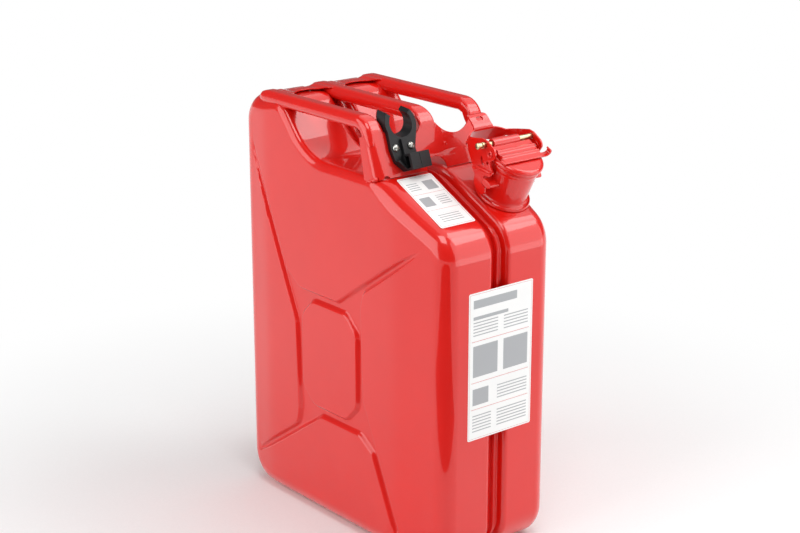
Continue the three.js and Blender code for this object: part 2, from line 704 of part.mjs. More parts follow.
function lidCap() {
  const inside = LID_RADIUS - LID_WALL;
  const profile = [
    [0, lidTop], [LID_RADIUS - 3.5, lidTop], [LID_RADIUS - 1, lidTop - 1], [LID_RADIUS, lidTop - 3.5],
    [LID_RADIUS - 1, lidFoot], [inside - 1, lidFoot], [inside, lidTop - 3.3],
    [inside - 2, lidTop - LID_WALL], [0, lidTop - LID_WALL],
  ];
  return piece('lid_cap', turned(profile, false), redPaint());
}

function lidGasket() {
  const outer = LID_RADIUS - LID_WALL - 2.2;
  const foot = NECK_HEIGHT + CLEARANCE;
  const profile = [
    [outer - GASKET_WIDTH, foot], [outer, foot], [outer, foot + GASKET_HEIGHT],
    [outer - GASKET_WIDTH, foot + GASKET_HEIGHT],
  ];
  return piece('lid_gasket', turned(profile, true), rubber());
}

const hingeBore = () => roundBar(HINGE_PIN_RADIUS + CLEARANCE, -LID_RADIUS, LID_RADIUS, HINGE_Y, HINGE_Z);

function hingeBracket() {
  const half = BRACKET_WIDTH / 2;
  const seat = neckOuter(HINGE_Z) - 4;
  const top = HINGE_Z + CLEARANCE;
  const base = box(-half, half, seat, HINGE_Y - KNUCKLE_RADIUS - 1, HINGE_Z - 12, top);
  const slot = LEAF_WIDTH / 2 + CLEARANCE;
  const earShape = plain([
    [seat + 4, HINGE_Z - 12], [HINGE_Y - KNUCKLE_RADIUS, HINGE_Z - 12],
    [HINGE_Y + KNUCKLE_RADIUS, HINGE_Z], [HINGE_Y, HINGE_Z + KNUCKLE_RADIUS / 2],
    [HINGE_Y - KNUCKLE_RADIUS, top], [seat + 4, top],
  ]);
  const ear = (from, to) => union(
    extrude('x', earShape, from, to), roundBar(KNUCKLE_RADIUS, from, to, HINGE_Y, HINGE_Z),
  );
  const whole = union(base, ear(-half, -slot), ear(slot, half));
  return piece('hinge_bracket', cut(whole, neckCone(), hingeBore()), redPaint());
}

function lidHingeLeaf() {
  const foot = lidTop + CLEARANCE;
  const behind = LID_RADIUS + 2 * CLEARANCE;
  const half = LEAF_WIDTH / 2;
  const strap = plain([
    [PIVOT_Y - BARREL_RADIUS, foot], [behind, foot], [behind, HINGE_Z + 2 * KNUCKLE_RADIUS],
    [HINGE_Y - KNUCKLE_RADIUS * 0.9, HINGE_Z], [HINGE_Y, HINGE_Z],
    [HINGE_Y + KNUCKLE_RADIUS * 0.7, HINGE_Z + KNUCKLE_RADIUS * 0.7],
    [behind + 1.5 * LEAF_SHEET, HINGE_Z + 2.4 * KNUCKLE_RADIUS],
    [behind + LEAF_SHEET, foot + LEAF_SHEET], [PIVOT_Y - BARREL_RADIUS, foot + LEAF_SHEET],
  ]);
  const knuckle = roundBar(KNUCKLE_RADIUS, -half, half, HINGE_Y, HINGE_Z);
  const leaf = union(extrude('x', strap, -half, half), knuckle);
  return piece('lid_hinge_leaf', cut(leaf, hingeBore()), redPaint());
}

const hingePin = () => piece(
  'hinge_pin',
  roundBar(HINGE_PIN_RADIUS, -HINGE_PIN_LENGTH / 2, HINGE_PIN_LENGTH / 2, HINGE_Y, HINGE_Z),
  zincSteel(),
);

function lidBridge() {
  const half = BRIDGE_HALF_WIDTH;
  const foot = lidTop + CLEARANCE;
  const rear = PIVOT_Y - BARREL_RADIUS * 0.9;
  const rise = (PIVOT_Z - foot - BRIDGE_SHEET) / (rear - BRIDGE_FRONT_Y);
  const deck = (y) => foot + (y - BRIDGE_FRONT_Y) * rise;
  const ribs = [1, 2].flatMap((n) => {
    const y = BRIDGE_FRONT_Y + (n * (rear - BRIDGE_FRONT_Y)) / 3;
    const top = deck(y) + BRIDGE_SHEET;
    return [[y - 1, top - rise], [y, top + 1.2], [y + 1.5, top + 1.2], [y + 2.5, top + 2.5 * rise]];
  });
  const deckShape = plain([
    [BRIDGE_FRONT_Y, foot], [rear, deck(rear)], [rear, deck(rear) + BRIDGE_SHEET],
    ...ribs.reverse(), [BRIDGE_FRONT_Y, foot + BRIDGE_SHEET],
  ]);
  const web = plain([
    [BRIDGE_FRONT_Y, foot], [rear, foot], [rear, deck(rear) + 1], [BRIDGE_FRONT_Y, foot + 1],
  ]);
  const barrel = cut(
    roundBar(BARREL_RADIUS, BARREL_LEFT, BARREL_RIGHT, PIVOT_Y, PIVOT_Z),
    roundBar(PIN_RADIUS + CLEARANCE, -half * 2, half * 2, PIVOT_Y, PIVOT_Z),
  );
  const curl = BRIDGE_SHEET;
  const ear = (side) => {
    const [from, to] = [half - 1, EAR_REACH].map((x) => side * x).sort((a, b) => a - b);
    const tip = side * (EAR_REACH - curl / 2);
    return union(
      box(from, to, BRIDGE_FRONT_Y, BRIDGE_FRONT_Y + 4, foot, foot + BRIDGE_SHEET),
      box(tip - curl / 2, tip + curl / 2, BRIDGE_FRONT_Y, BRIDGE_FRONT_Y + 4, foot, foot + 5),
    );
  };
  const bridge = union(
    extrude('x', deckShape, -half, half), extrude('x', web, -half, BRIDGE_SHEET - half),
    extrude('x', web, half - BRIDGE_SHEET, half), barrel, ear(-1), ear(1),
  );
  return piece('lid_bridge', bridge, redPaint());
}

// Upper and lower edge of the lever's sheet from the cheeks to its back
const leverRim = (y) => Math.max(PIVOT_Z + 4 - 0.68 * (y - PIVOT_Y - 6), PIVOT_Z - LEVER_RIM_DROP);
const leverFoot = (y) => {
  const rise = PIVOT_Z - 29 + 0.6 * (y - PIVOT_Y - 5.8);
  const wall = PIVOT_Z - LEVER_RIM_DROP - LEVER_WALL_HEIGHT;
  const rearward = (y - LEVER_TURN_Y) / (LEVER_BACK_Y - LEVER_TURN_Y);
  const apron = THREE.MathUtils.smoothstep(rearward, 0.58, 0.92);
  return Math.min(rise, wall) - LEVER_APRON * apron;
};

// Cheek of the lever in side view: lobe at the front, hook below, tail under the lug
function cheekShape() {
  const lugTop = LUG_Z + LUG_HEIGHT / 2;
  const lugFoot = LUG_Z - LUG_HEIGHT / 2;
  const throat = LUG_REAR_Y + 0.8;
  const end = LEVER_TURN_Y + 1;
  return roundedShape([
    [end, leverRim(end)], [PIVOT_Y + 6, PIVOT_Z + 4],
    [PIVOT_Y - 1, PIVOT_Z + 5.7], [RIVET_Y - 3.4, RIVET_Z + 8], [RIVET_Y - 7.6, RIVET_Z + 4.3],
    [RIVET_Y - 6.6, RIVET_Z - 3.5], [RIVET_Y - 3.6, RIVET_Z - 6], [throat - 1, lugTop + 14],
    [throat - 8, lugTop + 10], [throat - 8, lugTop + 5], [throat, lugTop + 1.6], [throat, lugFoot - 0.5],
    [throat - 4, lugFoot - 1.8], [throat - 6.5, lugFoot - 1.4], [throat - 9, lugFoot - 7],
    [throat - 6.5, lugFoot - 11.5], [throat + 4.3, lugFoot - 11], [throat + 10, lugFoot - 6],
    [throat + 12.5, lugFoot + 1], [PIVOT_Y + 5.8, PIVOT_Z - 29], [end, leverFoot(end)],
  ], 2.5);
}

// Sheet that runs on from both cheeks in a full curve round the back of the hinge
function leverBack() {
  const middle = LEVER_INNER + LEVER_SHEET / 2;
  const length = LEVER_BACK_Y + LEVER_SHEET / 2 - LEVER_TURN_Y;
  const steps = 18;
  const path = Array.from({ length: steps + 1 }, (_, i) => {
    const turn = (Math.PI * i) / steps;
    const along = -Math.cos(turn);
    const x = Math.sign(along) * middle * Math.abs(along) ** 0.84;
    return new THREE.Vector2(x, LEVER_TURN_Y + length * Math.max(0, Math.sin(turn)) ** 0.84);
  });
  path[0].x = -middle;
  const half = LEVER_SHEET / 2 - 0.05;
  const rings = path.map((point, i) => {
    const ahead = path[Math.min(i + 1, steps)];
    const behind = path[Math.max(i - 1, 0)];
    const along = ahead.clone().sub(behind).normalize();
    if (i === 0) along.set(0, 1);
    if (i === steps) along.set(0, -1);
    const [low, high] = [leverFoot(point.y) + 0.1, leverRim(point.y) - 0.1];
    return [[-1, low], [1, low], [1, high], [-1, high]].map(([side, z]) => new THREE.Vector3(
      point.x + side * half * along.y, point.y - side * half * along.x, z,
    ));
  });
  const end = [[0, 0], [1, 0], [1, 1], [0, 1]].map((p) => new THREE.Vector2(...p));
  return loft(rings, end, end);
}

function lockingLever() {
  const [inner, outer] = [LEVER_INNER, LEVER_INNER + LEVER_SHEET];
  const reach = outer + CLEARANCE;
  const rim = PIVOT_Z - LEVER_RIM_DROP;
  const half = THUMB_WIDTH / 2;
  const start = LEVER_BACK_Y - 1;
  const end = LEVER_BACK_Y + THUMB_LENGTH;
  const crest = rim + THUMB_RISE;
  const thumb = extrude('x', plain([
    [start, rim - 3], [start + 4, rim - 1], [end - 6, crest - LEVER_SHEET],
    [end - 0.5, crest - 2 * LEVER_SHEET], [end, crest - LEVER_SHEET],
    [end - 6, crest], [start + 4, rim - 1 + LEVER_SHEET], [start, rim - 0.6],
  ]), -half, half);
  const slotY = end - 3 - THUMB_SLOT_WIDTH;
  const slot = box(
    -THUMB_SLOT_LENGTH / 2, THUMB_SLOT_LENGTH / 2, slotY, slotY + THUMB_SLOT_WIDTH,
    crest - 5 * LEVER_SHEET, crest + 3 * LEVER_SHEET,
  );
  const yoke = union(
    extrude('x', cheekShape(), -outer, -inner), extrude('x', cheekShape(), inner, outer),
    leverBack(), cut(thumb, slot),
  );
  const lever = cut(
    yoke,
    roundBar(PIN_RADIUS + CLEARANCE, -reach, reach, PIVOT_Y, PIVOT_Z),
    roundBar(RIVET_SHANK + CLEARANCE, -reach, reach, RIVET_Y, RIVET_Z),
  );
  return piece('locking_lever', lever, redPaint());
}

// Hollow rivet through a cheek of the lever, headed on both sides
function leverRivet(name, side) {
  const half = LEVER_SHEET / 2 + CLEARANCE;
  const profile = [
    [RIVET_BORE, -half - RIVET_HEAD_HEIGHT], [RIVET_HEAD, -half - RIVET_HEAD_HEIGHT], [RIVET_HEAD, -half],
    [RIVET_SHANK, -half], [RIVET_SHANK, half], [RIVET_HEAD, half],
    [RIVET_HEAD - 0.6, half + RIVET_HEAD_HEIGHT], [RIVET_BORE, half + RIVET_HEAD_HEIGHT],
  ];
  const rivet = piece(name, turned(profile, true, ROUND_STEPS), redPaint());
  rivet.rotation.y = side * upright;
  rivet.position.set(side * (LEVER_INNER + LEVER_SHEET / 2), RIVET_Y, RIVET_Z);
  return rivet;
}

function safetyPin() {
  const end = PIN_LENGTH / 2;
  const shank = roundBar(PIN_RADIUS, -end - 1, end, PIVOT_Y, PIVOT_Z);
  const head = roundBar(PIN_HEAD_RADIUS, -end - PIN_HEAD_LENGTH, -end, PIVOT_Y, PIVOT_Z);
  return piece('safety_pin', union(shank, head), yellowZinc());
}

// Pipe that lets air from under the hump back into the neck while pouring
function breatherPipe() {
  const seat = neckOuter(0) - NECK_WALL - BREATHER_RADIUS - 2 * CLEARANCE;
  const inNeck = (z) => new THREE.Vector3(0, seat, z).applyMatrix4(neckFrame.matrixWorld);
  const under = SADDLE_HEIGHT - SHEET - 2.5 * BREATHER_RADIUS;
  const route = new THREE.CatmullRomCurve3([
    inNeck(NECK_HEIGHT * 0.6), inNeck(NECK_HEIGHT * 0.3), inNeck(-NECK_STUB),
    inNeck(-NECK_STUB - 2.5 * BREATHER_RADIUS),
    new THREE.Vector3(NECK_X, SHOULDER_START_Y, under - BREATHER_RADIUS),
    new THREE.Vector3(NECK_X, SADDLE_CENTRE_Y, under),
    new THREE.Vector3(NECK_X, flankLow.y + BREATHER_RADIUS, under + 3 * BREATHER_RADIUS),
    new THREE.Vector3(NECK_X, humpY + BREATHER_RADIUS, HUMP_HEIGHT - HUMP_RADIUS),
  ]);
  const ring = (radius) => Array.from({ length: 8 }, (_, i) => {
    const turn = (Math.PI * i) / 4;
    return new THREE.Vector2(radius * Math.cos(turn), radius * Math.sin(turn));
  });
  const section = new THREE.Shape(ring(BREATHER_RADIUS));
  section.holes.push(new THREE.Path(ring(BREATHER_RADIUS - BREATHER_WALL)));
  const pipe = new THREE.ExtrudeGeometry(section, { steps: 22, extrudePath: route });
  return piece('breather_pipe', solid(pipe), zincSteel());
}

// Jaw outline, open at the top
function jawOutline() {
  const sweep = 2 * Math.PI - 2 * JAW_OPENING;
  const steps = ROUND_STEPS;
  const side = (radius, from, way) => Array.from({ length: steps + 1 }, (_, i) => {
    const turn = from + (way * sweep * i) / steps;
    return new THREE.Vector2(JAW_X + radius * Math.cos(turn), JAW_Z + radius * Math.sin(turn));
  });
  return [...side(JAW_OUTER, upright + JAW_OPENING, 1), ...side(JAW_INNER, upright - JAW_OPENING, -1)];
}

function spoutClip() {
  const back = -CLEARANCE;
  const front = back - CLIP_BODY_DEPTH;
  const outline = jawOutline();
  const ring = extrude('y', new THREE.Shape(outline), front, back);
  const jawAt = (y) => outline.map((p) => new THREE.Vector3(p.x, y, p.y + JAW_RISE * (y - front)));
  const overPlate = plateHeight + 5 * CLEARANCE;
  const horns = loft([jawAt(front + 1), jawAt(JAW_REACH)], outline, outline).intersect(
    box(JAW_X - 2 * JAW_OUTER, JAW_X + 2 * JAW_OUTER, front, 2 * JAW_REACH, overPlate, 2 * JAW_Z),
  );
  const shoulder = JAW_Z - JAW_OUTER * 0.32;
  const waist = SCREW_SPREAD + SCREW_HEAD_RADIUS;
  const body = extrude('y', plain([
    [JAW_X - JAW_OUTER * 0.94, shoulder], [JAW_X - JAW_OUTER * 0.98, SCREW_Z - 1],
    [-waist, CLIP_FOOT_Z + POCKET_HEIGHT * 0.65], [POCKET_LEFT + 0.5, CLIP_FOOT_Z],
    [POCKET_RIGHT - 5, CLIP_FOOT_Z], [waist + 1.6, SCREW_Z - 2], [JAW_X + JAW_OUTER * 0.94, shoulder],
  ]), front, back);
  const bore = roundPost(JAW_INNER, 4 * front, 2 * JAW_REACH, JAW_X, JAW_Z, ROUND_STEPS * 2);
  const pocketTop = CLIP_FOOT_Z + POCKET_HEIGHT;
  const rib = box(-3, 0, front - 3, front + 1, pocketTop - 1, JAW_Z - JAW_INNER - 2);
  const pocketFront = front - POCKET_DEPTH;
  const pocket = box(POCKET_LEFT, POCKET_RIGHT, pocketFront, front + 1, CLIP_FOOT_Z, pocketTop);
  const slot = box(
    POCKET_LEFT - 1, POCKET_RIGHT - 1.5 * POCKET_WALL, pocketFront + POCKET_WALL, front - POCKET_WALL,
    CLIP_FOOT_Z + POCKET_WALL / 1.5, pocketTop - POCKET_WALL / 1.5,
  );
  const holes = [-1, 1].map((side) => roundPost(
    SCREW_RADIUS + CLEARANCE, 2 * front, CLIP_BODY_DEPTH, side * SCREW_SPREAD, SCREW_Z,
  ));
  const clip = union(cut(body, bore), ring, horns, rib, pocket);
  return piece('spout_clip', cut(clip, slot, ...holes), blackPlastic());
}

function clipScrew(name, side) {
  const x = side * SCREW_SPREAD;
  const seat = -CLEARANCE - CLIP_BODY_DEPTH - CLEARANCE;
  const end = HANDLE_SHEET + CLEARANCE + NUT_HEIGHT + 0.5;
  const shank = roundPost(SCREW_RADIUS, seat - 0.5, end, x, SCREW_Z, 12);
  const head = roundPost(SCREW_HEAD_RADIUS, seat - SCREW_HEAD_HEIGHT, seat, x, SCREW_Z, 20);
  return piece(name, union(shank, head), zincSteel());
}

function clipNut(name, side) {
  const x = side * SCREW_SPREAD;
  const seat = HANDLE_SHEET + CLEARANCE;
  const nut = cut(
    roundPost(NUT_RADIUS, seat, seat + NUT_HEIGHT, x, SCREW_Z, 6),
    roundPost(SCREW_RADIUS + CLEARANCE, 0, seat + 2 * NUT_HEIGHT, x, SCREW_Z, 12),
  );
  return piece(name, nut, zincSteel());
}

function frontLabel() {
  const { x, z, width, height } = FRONT_LABEL;
  const label = box(-width / 2, width / 2, bodyFront - STICKER, bodyFront, -height / 2, height / 2);
  const sticker = piece('front_label', label, whiteVinyl());
  sticker.position.set(x, 0, z);
  return sticker;
}

function shoulderLabel() {
  const { x, y, width, length } = SHOULDER_LABEL;
  const label = box(-width / 2, width / 2, -length / 2, length / 2, CLEARANCE, CLEARANCE + STICKER);
  const sticker = piece('shoulder_label', label, whiteVinyl());
  sticker.position.set(x, y, shoulderZ(y));
  sticker.rotation.x = SHOULDER_ANGLE;
  return sticker;
}

// Assembly
const can = new THREE.Group();
neckFrame.add(
  fillerNeck(), ...neckLugs(), hingeBracket(), hingePin(),
  lidHingeLeaf(), lidCap(), lidGasket(), lidBridge(),
  lockingLever(), leverRivet('lever_rivet_left', -1), leverRivet('lever_rivet_right', 1), safetyPin(),
);
const clipFrame = new THREE.Group();
clipFrame.position.x = CLIP_X;
clipFrame.add(
  spoutClip(), clipScrew('clip_screw_left', -1), clipScrew('clip_screw_right', 1),
  clipNut('clip_nut_left', -1), clipNut('clip_nut_right', 1),
);
plateFrame.add(frontPlate(), clipFrame);
can.add(
  ...shells(), ...grips(), rearPlate(), plateFrame, neckFrame,
  breatherPipe(), frontLabel(), shoulderLabel(),
);

export default can;
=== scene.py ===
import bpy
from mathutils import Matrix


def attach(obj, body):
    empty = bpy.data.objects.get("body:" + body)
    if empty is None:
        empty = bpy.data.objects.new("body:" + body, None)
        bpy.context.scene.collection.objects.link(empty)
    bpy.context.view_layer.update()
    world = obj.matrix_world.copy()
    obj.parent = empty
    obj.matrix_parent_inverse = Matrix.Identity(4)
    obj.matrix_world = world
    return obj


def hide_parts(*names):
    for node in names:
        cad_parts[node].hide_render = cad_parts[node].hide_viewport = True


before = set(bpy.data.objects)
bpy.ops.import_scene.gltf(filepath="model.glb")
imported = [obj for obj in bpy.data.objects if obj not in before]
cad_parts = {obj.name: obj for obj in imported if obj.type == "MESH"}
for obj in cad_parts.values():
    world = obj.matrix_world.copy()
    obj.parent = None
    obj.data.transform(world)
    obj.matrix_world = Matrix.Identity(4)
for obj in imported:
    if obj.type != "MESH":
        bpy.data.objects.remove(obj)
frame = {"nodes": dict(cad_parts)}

"""Visual pieces of a red steel jerry can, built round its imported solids.

Sizes in the classes are millimetres in the can's frame: +Z up, front towards -Y, origin under the
middle of the base. Meshes are made in metres.
"""

import logging
import math
from collections.abc import Callable, Iterable, Sequence
from dataclasses import dataclass
from enum import Enum
from functools import cache, cached_property, partial
from itertools import accumulate

import bpy
import numpy as np
from mathutils import Matrix, Vector
from mathutils.geometry import delaunay_2d_cdt

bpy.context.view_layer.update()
LOG = logging.getLogger("jerry_can")
MM = 0.001
QUARTER = math.pi / 2
WHITE = (1, 1, 1, 1)
Obj = bpy.types.Object
Socket = bpy.types.NodeSocket
Tree = bpy.types.NodeTree
Pair = tuple[float, float]
Triple = tuple[float, float, float]
Face = Sequence[int]


class Body(Enum):
    """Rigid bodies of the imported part."""

    CAN = "can"
    LID = "lid"
    LEVER = "lever"
    PIN = "pin"


class Side(Enum):
    """Halves of the can, with the sign of their x."""

    LEFT = -1
    RIGHT = 1

    @property
    def label(self) -> str:
        """Name as it is used in piece names."""
        return self.name.lower()


# Numbers, outlines and frames


def to_linear(code: str) -> tuple[float, ...]:
    """Converts an sRGB hex code with a leading hash to a linear colour.

    Args:
        code: The hex code.

    Returns:
        Linear red, green, blue and an alpha of one.
    """
    parts = [int(code[i : i + 2], 16) / 255 for i in (1, 3, 5)]
    linear = [c / 12.92 if c <= 0.04045 else ((c + 0.055) / 1.055) ** 2.4 for c in parts]
    return (*linear, 1.0)


def ease(t: float) -> float:
    """Smooth step from zero to one over the unit range."""
    t = min(1.0, max(0.0, t))
    return t * t * (3 - 2 * t)


def evenly(first: float, last: float, steps: int) -> list[float]:
    """Evenly spaced values from the first to the last."""
    return [first + (last - first) * k / steps for k in range(steps + 1)]


def shift(x: float, y: float, z: float) -> Matrix:
    """Move by millimetres."""
    return Matrix.Translation(Vector((x, y, z)) * MM)


def rotate(angle: float, axis: str) -> Matrix:
    """Turn about an axis, in radians."""
    return Matrix.Rotation(angle, 4, axis)


def rounded(
    points: Sequence[Pair], radius: float | Sequence[float], steps: int, grow: float = 0.0
) -> list[Pair]:
    """Rounds the corners of a closed outline with arcs and moves it outwards.

    Args:
        points: Corners, counter-clockwise.
        radius: Corner radius, one for all or one for each corner.
        steps: Segments in each corner.
        grow: Distance that the outline moves outwards.

    Returns:
        The rounded outline.
    """
    result: list[Pair] = []
    count = len(points)
    for i, point in enumerate(points):
        corner = Vector(point)
        before = Vector(points[i - 1]) - corner
        after = Vector(points[(i + 1) % count]) - corner
        reach = 0.48 * min(before.length, after.length)
        before.normalize()
        after.normalize()
        half = math.acos(max(-1.0, min(1.0, before.dot(after)))) / 2
        wanted = radius if isinstance(radius, (int, float)) else radius[i]
        arc = min(wanted, reach * math.tan(half))
        centre = corner + (before + after).normalized() * (arc / math.sin(half))
        outward = -1.0 if before.x * after.y - before.y * after.x > 0 else 1.0
        size = max(0.05, arc + outward * grow)
        start = corner + before * (arc / math.tan(half)) - centre
        end = corner + after * (arc / math.tan(half)) - centre
        first = math.atan2(start.y, start.x)
        sweep = (math.atan2(end.y, end.x) - first + math.pi) % (2 * math.pi) - math.pi
        for k in range(steps + 1):
            angle = first + sweep * k / steps
            result.append((centre.x + size * math.cos(angle), centre.y + size * math.sin(angle)))
    return result


def bezier(a: Pair, b: Pair, c: Pair, d: Pair, steps: int = 20) -> list[Pair]:
    """Points of a cubic curve.

    Args:
        a: Start.
        b: First control.
        c: Second control.
        d: End.
        steps: Segments.

    Returns:
        The points.
    """
    result = []
    for t in evenly(0, 1, steps):
        weights = ((1 - t) ** 3, 3 * t * (1 - t) ** 2, 3 * t * t * (1 - t), t**3)
        result.append(tuple(sum(w * p[i] for w, p in zip(weights, (a, b, c, d))) for i in (0, 1)))
    return result


@dataclass(frozen=True)
class Route:
    """Line of points that a flat sheet is bent along."""

    points: Sequence[Pair]

    @cached_property
    def ways(self) -> list[float]:
        """Length of the line up to each point."""
        steps = map(math.dist, self.points, self.points[1:])
        return list(accumulate(steps, initial=0.0))

    def follow(self, run: float, ahead: int) -> tuple[Vector, Vector]:
        """Goes some way along the line.

        Args:
            run: Distance from the start.
            ahead: Points to look ahead for the direction.

        Returns:
            The place and the direction there.
        """
        ways = self.ways
        k = max(i for i, way in enumerate(ways[:-1]) if way <= run + 1e-6)
        share = (run - ways[k]) / (ways[k + 1] - ways[k])
        here = Vector(self.points[k]).lerp(Vector(self.points[k + 1]), share)
        far = self.points[min(k + ahead, len(self.points) - 1)]
        return here, (Vector(far) - Vector(self.points[max(k - 1, 0)])).normalized()


# Mesh helpers; each one returns the object that it made or changed


def activate(obj: Obj) -> Obj:
    """Makes one object the only selected and the active one.

    Args:
        obj: Object to work on.

    Returns:
        The same object.
    """
    bpy.ops.object.select_all(action="DESELECT")
    obj.select_set(True)
    bpy.context.view_layer.objects.active = obj
    return obj


def edit(obj: Obj, *steps: Callable[[], object]) -> Obj:
    """Runs edit-mode steps on a mesh, then merges doubles and turns faces out.

    Args:
        obj: Mesh object.
        steps: Calls made in edit mode with everything selected.

    Returns:
        The same object.
    """
    activate(obj)
    bpy.ops.object.mode_set(mode="EDIT")
    bpy.ops.mesh.select_all(action="SELECT")
    for step in steps:
        step()
    bpy.ops.mesh.select_all(action="SELECT")
    bpy.ops.mesh.remove_doubles(threshold=1e-6)
    bpy.ops.mesh.normals_make_consistent(inside=False)
    bpy.ops.object.mode_set(mode="OBJECT")
    return obj


def modify(obj: Obj, kind: str, **settings: object) -> Obj:
    """Adds a modifier and applies it.

    Args:
        obj: Mesh object.
        kind: Modifier type.
        settings: Modifier properties.

    Returns:
        The same object.
    """
    activate(obj)
    modifier = obj.modifiers.new(kind.title(), kind)
    for key, value in settings.items():
        setattr(modifier, key, value)
    bpy.ops.object.modifier_apply(modifier=modifier.name)
    return obj


def from_points(
    name: str, points: Iterable[Sequence[float]], faces: Sequence[Face], edges: Sequence[Face] = ()
) -> Obj:
    """Makes a mesh object from points in millimetres.

    Args:
        name: Piece name.
        points: Vertex positions.
        faces: Vertex numbers of each face.
        edges: Loose edges.

    Returns:
        The object, linked to the scene.
    """
    mesh = bpy.data.meshes.new(name)
    mesh.from_pydata([tuple(c * MM for c in p) for p in points], list(edges), list(faces))
    obj = bpy.data.objects.new(name, mesh)
    bpy.context.scene.collection.objects.link(obj)
    return obj


def quads(rows: int, count: int, closed: bool) -> list[Face]:
    """Faces between neighbouring rows of points.

    Args:
        rows: Number of rows.
        count: Points in each row.
        closed: Whether the end of a row joins its start.

    Returns:
        Point numbers of each face.
    """
    faces: list[Face] = []
    for r in range(rows - 1):
        for i in range(count if closed else count - 1):
            a, b = r * count + i, r * count + (i + 1) % count
            faces.append((a, b, b + count, a + count))
    return faces


def loft(name: str, rings: Sequence[Sequence[Triple]]) -> Obj:
    """Skins closed rings of equal count and closes the ends.

    Args:
        name: Piece name.
        rings: Rings of points.

    Returns:
        The skinned object.
    """
    rows, count = len(rings), len(rings[0])
    ends = [tuple(range(count)), tuple(range((rows - 1) * count, rows * count))]
    points = [p for ring in rings for p in ring]
    return edit(from_points(name, points, quads(rows, count, True) + ends))


def extrude(obj: Obj, move: Triple) -> Obj:
    """Extrudes all faces of a mesh by a move in millimetres."""
    value = {"value": tuple(c * MM for c in move)}
    return edit(obj, lambda: bpy.ops.mesh.extrude_region_move(TRANSFORM_OT_translate=value))


def plate(name: str, outline: Sequence[Triple], move: Triple) -> Obj:
    """Plate with a flat outline, as thick as a move."""
    return extrude(from_points(name, outline, [tuple(range(len(outline)))]), move)


def cheek_plate(name: str, outline: Sequence[Pair], x0: float, x1: float) -> Obj:
    """Plate with its outline in y and z, between two values of x."""
    return plate(name, [(x0, y, z) for y, z in outline], (x1 - x0, 0, 0))


def made(name: str) -> Obj:
    """Names the new active object and puts its place and turn into its mesh.

    Args:
        name: Piece name.

    Returns:
        The object.
    """
    obj = bpy.context.active_object
    obj.name = name
    bpy.ops.object.transform_apply(location=True, rotation=True, scale=True)
    return obj


def block(name: str, low: Triple, high: Triple) -> Obj:
    """Box between two corners.

    Args:
        name: Piece name.
        low: Lowest corner.
        high: Highest corner.

    Returns:
        The box.
    """
    bpy.ops.object.select_all(action="DESELECT")
    centre = [(a + b) / 2 * MM for a, b in zip(low, high)]
    bpy.ops.mesh.primitive_cube_add(size=1, location=centre)
    bpy.context.active_object.scale = [(b - a) * MM for a, b in zip(low, high)]
    return made(name)


def rod(name: str, start: Triple, end: Triple, radius: float, sides: int) -> Obj:
    """Round bar between two points.

    Args:
        name: Piece name.
        start: Middle of one end.
        end: Middle of the other end.
        radius: Bar radius.
        sides: Sides of the bar.

    Returns:
        The bar.
    """
    a, b = Vector(start) * MM, Vector(end) * MM
    bpy.ops.object.select_all(action="DESELECT")
    bpy.ops.mesh.primitive_cylinder_add(
        vertices=sides, radius=radius * MM, depth=(b - a).length, location=(a + b) / 2
    )
    obj = bpy.context.active_object
    obj.rotation_mode = "QUATERNION"
    obj.rotation_quaternion = (b - a).to_track_quat("Z", "Y")
    return made(name)


def spun(name: str, profile: Sequence[Pair], steps: int) -> Obj:
    """Turns a profile of radius and z about the z axis.

    Args:
        name: Piece name.
        profile: Points of the profile; it closes on the axis or on its first point.
        steps: Steps round the axis.

    Returns:
        The turned piece.
    """
    edges = [(i, i + 1) for i in range(len(profile) - 1)]
    obj = from_points(name, [(r, 0.0, z) for r, z in profile], [], edges)
    whole = {"angle": 2 * math.pi, "center": (0, 0, 0), "axis": (0, 0, 1)}
    return edit(obj, lambda: bpy.ops.mesh.spin(steps=steps, **whole))


def fuse(name: str, *parts: Obj) -> Obj:
    """Joins objects into the first one.

    Args:
        name: Piece name.
        parts: Objects to join.

    Returns:
        The joined object.
    """
    activate(parts[0])
    for part in parts:
        part.select_set(True)
    bpy.ops.object.join()
    parts[0].name = name
    return parts[0]


def carve(obj: Obj, *cutters: Obj) -> Obj:
    """Cuts objects out of another and removes them.

    Args:
        obj: Object that is cut.
        cutters: Objects that cut it.

    Returns:
        The cut object.
    """
    for cutter in cutters:
        modify(obj, "BOOLEAN", object=cutter, operation="DIFFERENCE", solver="EXACT")
        bpy.data.objects.remove(cutter)
    return obj


def slit(obj: Obj, way: Triple, spots: Iterable[float]) -> Obj:
    """Adds edges where planes cross a mesh, so that it can be bent there.

    Args:
        obj: Object to cut.
        way: Direction across the planes.
        spots: Distances of the planes along it.

    Returns:
        The same object.
    """
    normal = Vector(way).normalized()

    def cut(spot: float) -> None:
        """Cuts with the plane at one distance."""
        bpy.ops.mesh.select_all(action="SELECT")
        bpy.ops.mesh.bisect(plane_co=normal * spot * MM, plane_no=normal)

    return edit(obj, *[partial(cut, spot) for spot in spots])


def reshape(obj: Obj, rule: Callable[[float, float, float], Triple]) -> Obj:
    """Moves every vertex by a rule in millimetres.

    Args:
        obj: Object to bend.
        rule: New place for an old one.

    Returns:
        The same object, with its faces turned out.
    """
    for vertex in obj.data.vertices:
        vertex.co = Vector(rule(*(c / MM for c in vertex.co))) * MM
    obj.data.update()
    return edit(obj)


def clean(obj: Obj, gap: float) -> Obj:
    """Welds points closer than a gap and dissolves the slivers that a cut leaves."""
    return edit(
        obj,
        lambda: bpy.ops.mesh.remove_doubles(threshold=gap * MM),
        lambda: bpy.ops.mesh.dissolve_degenerate(threshold=gap * MM),
    )


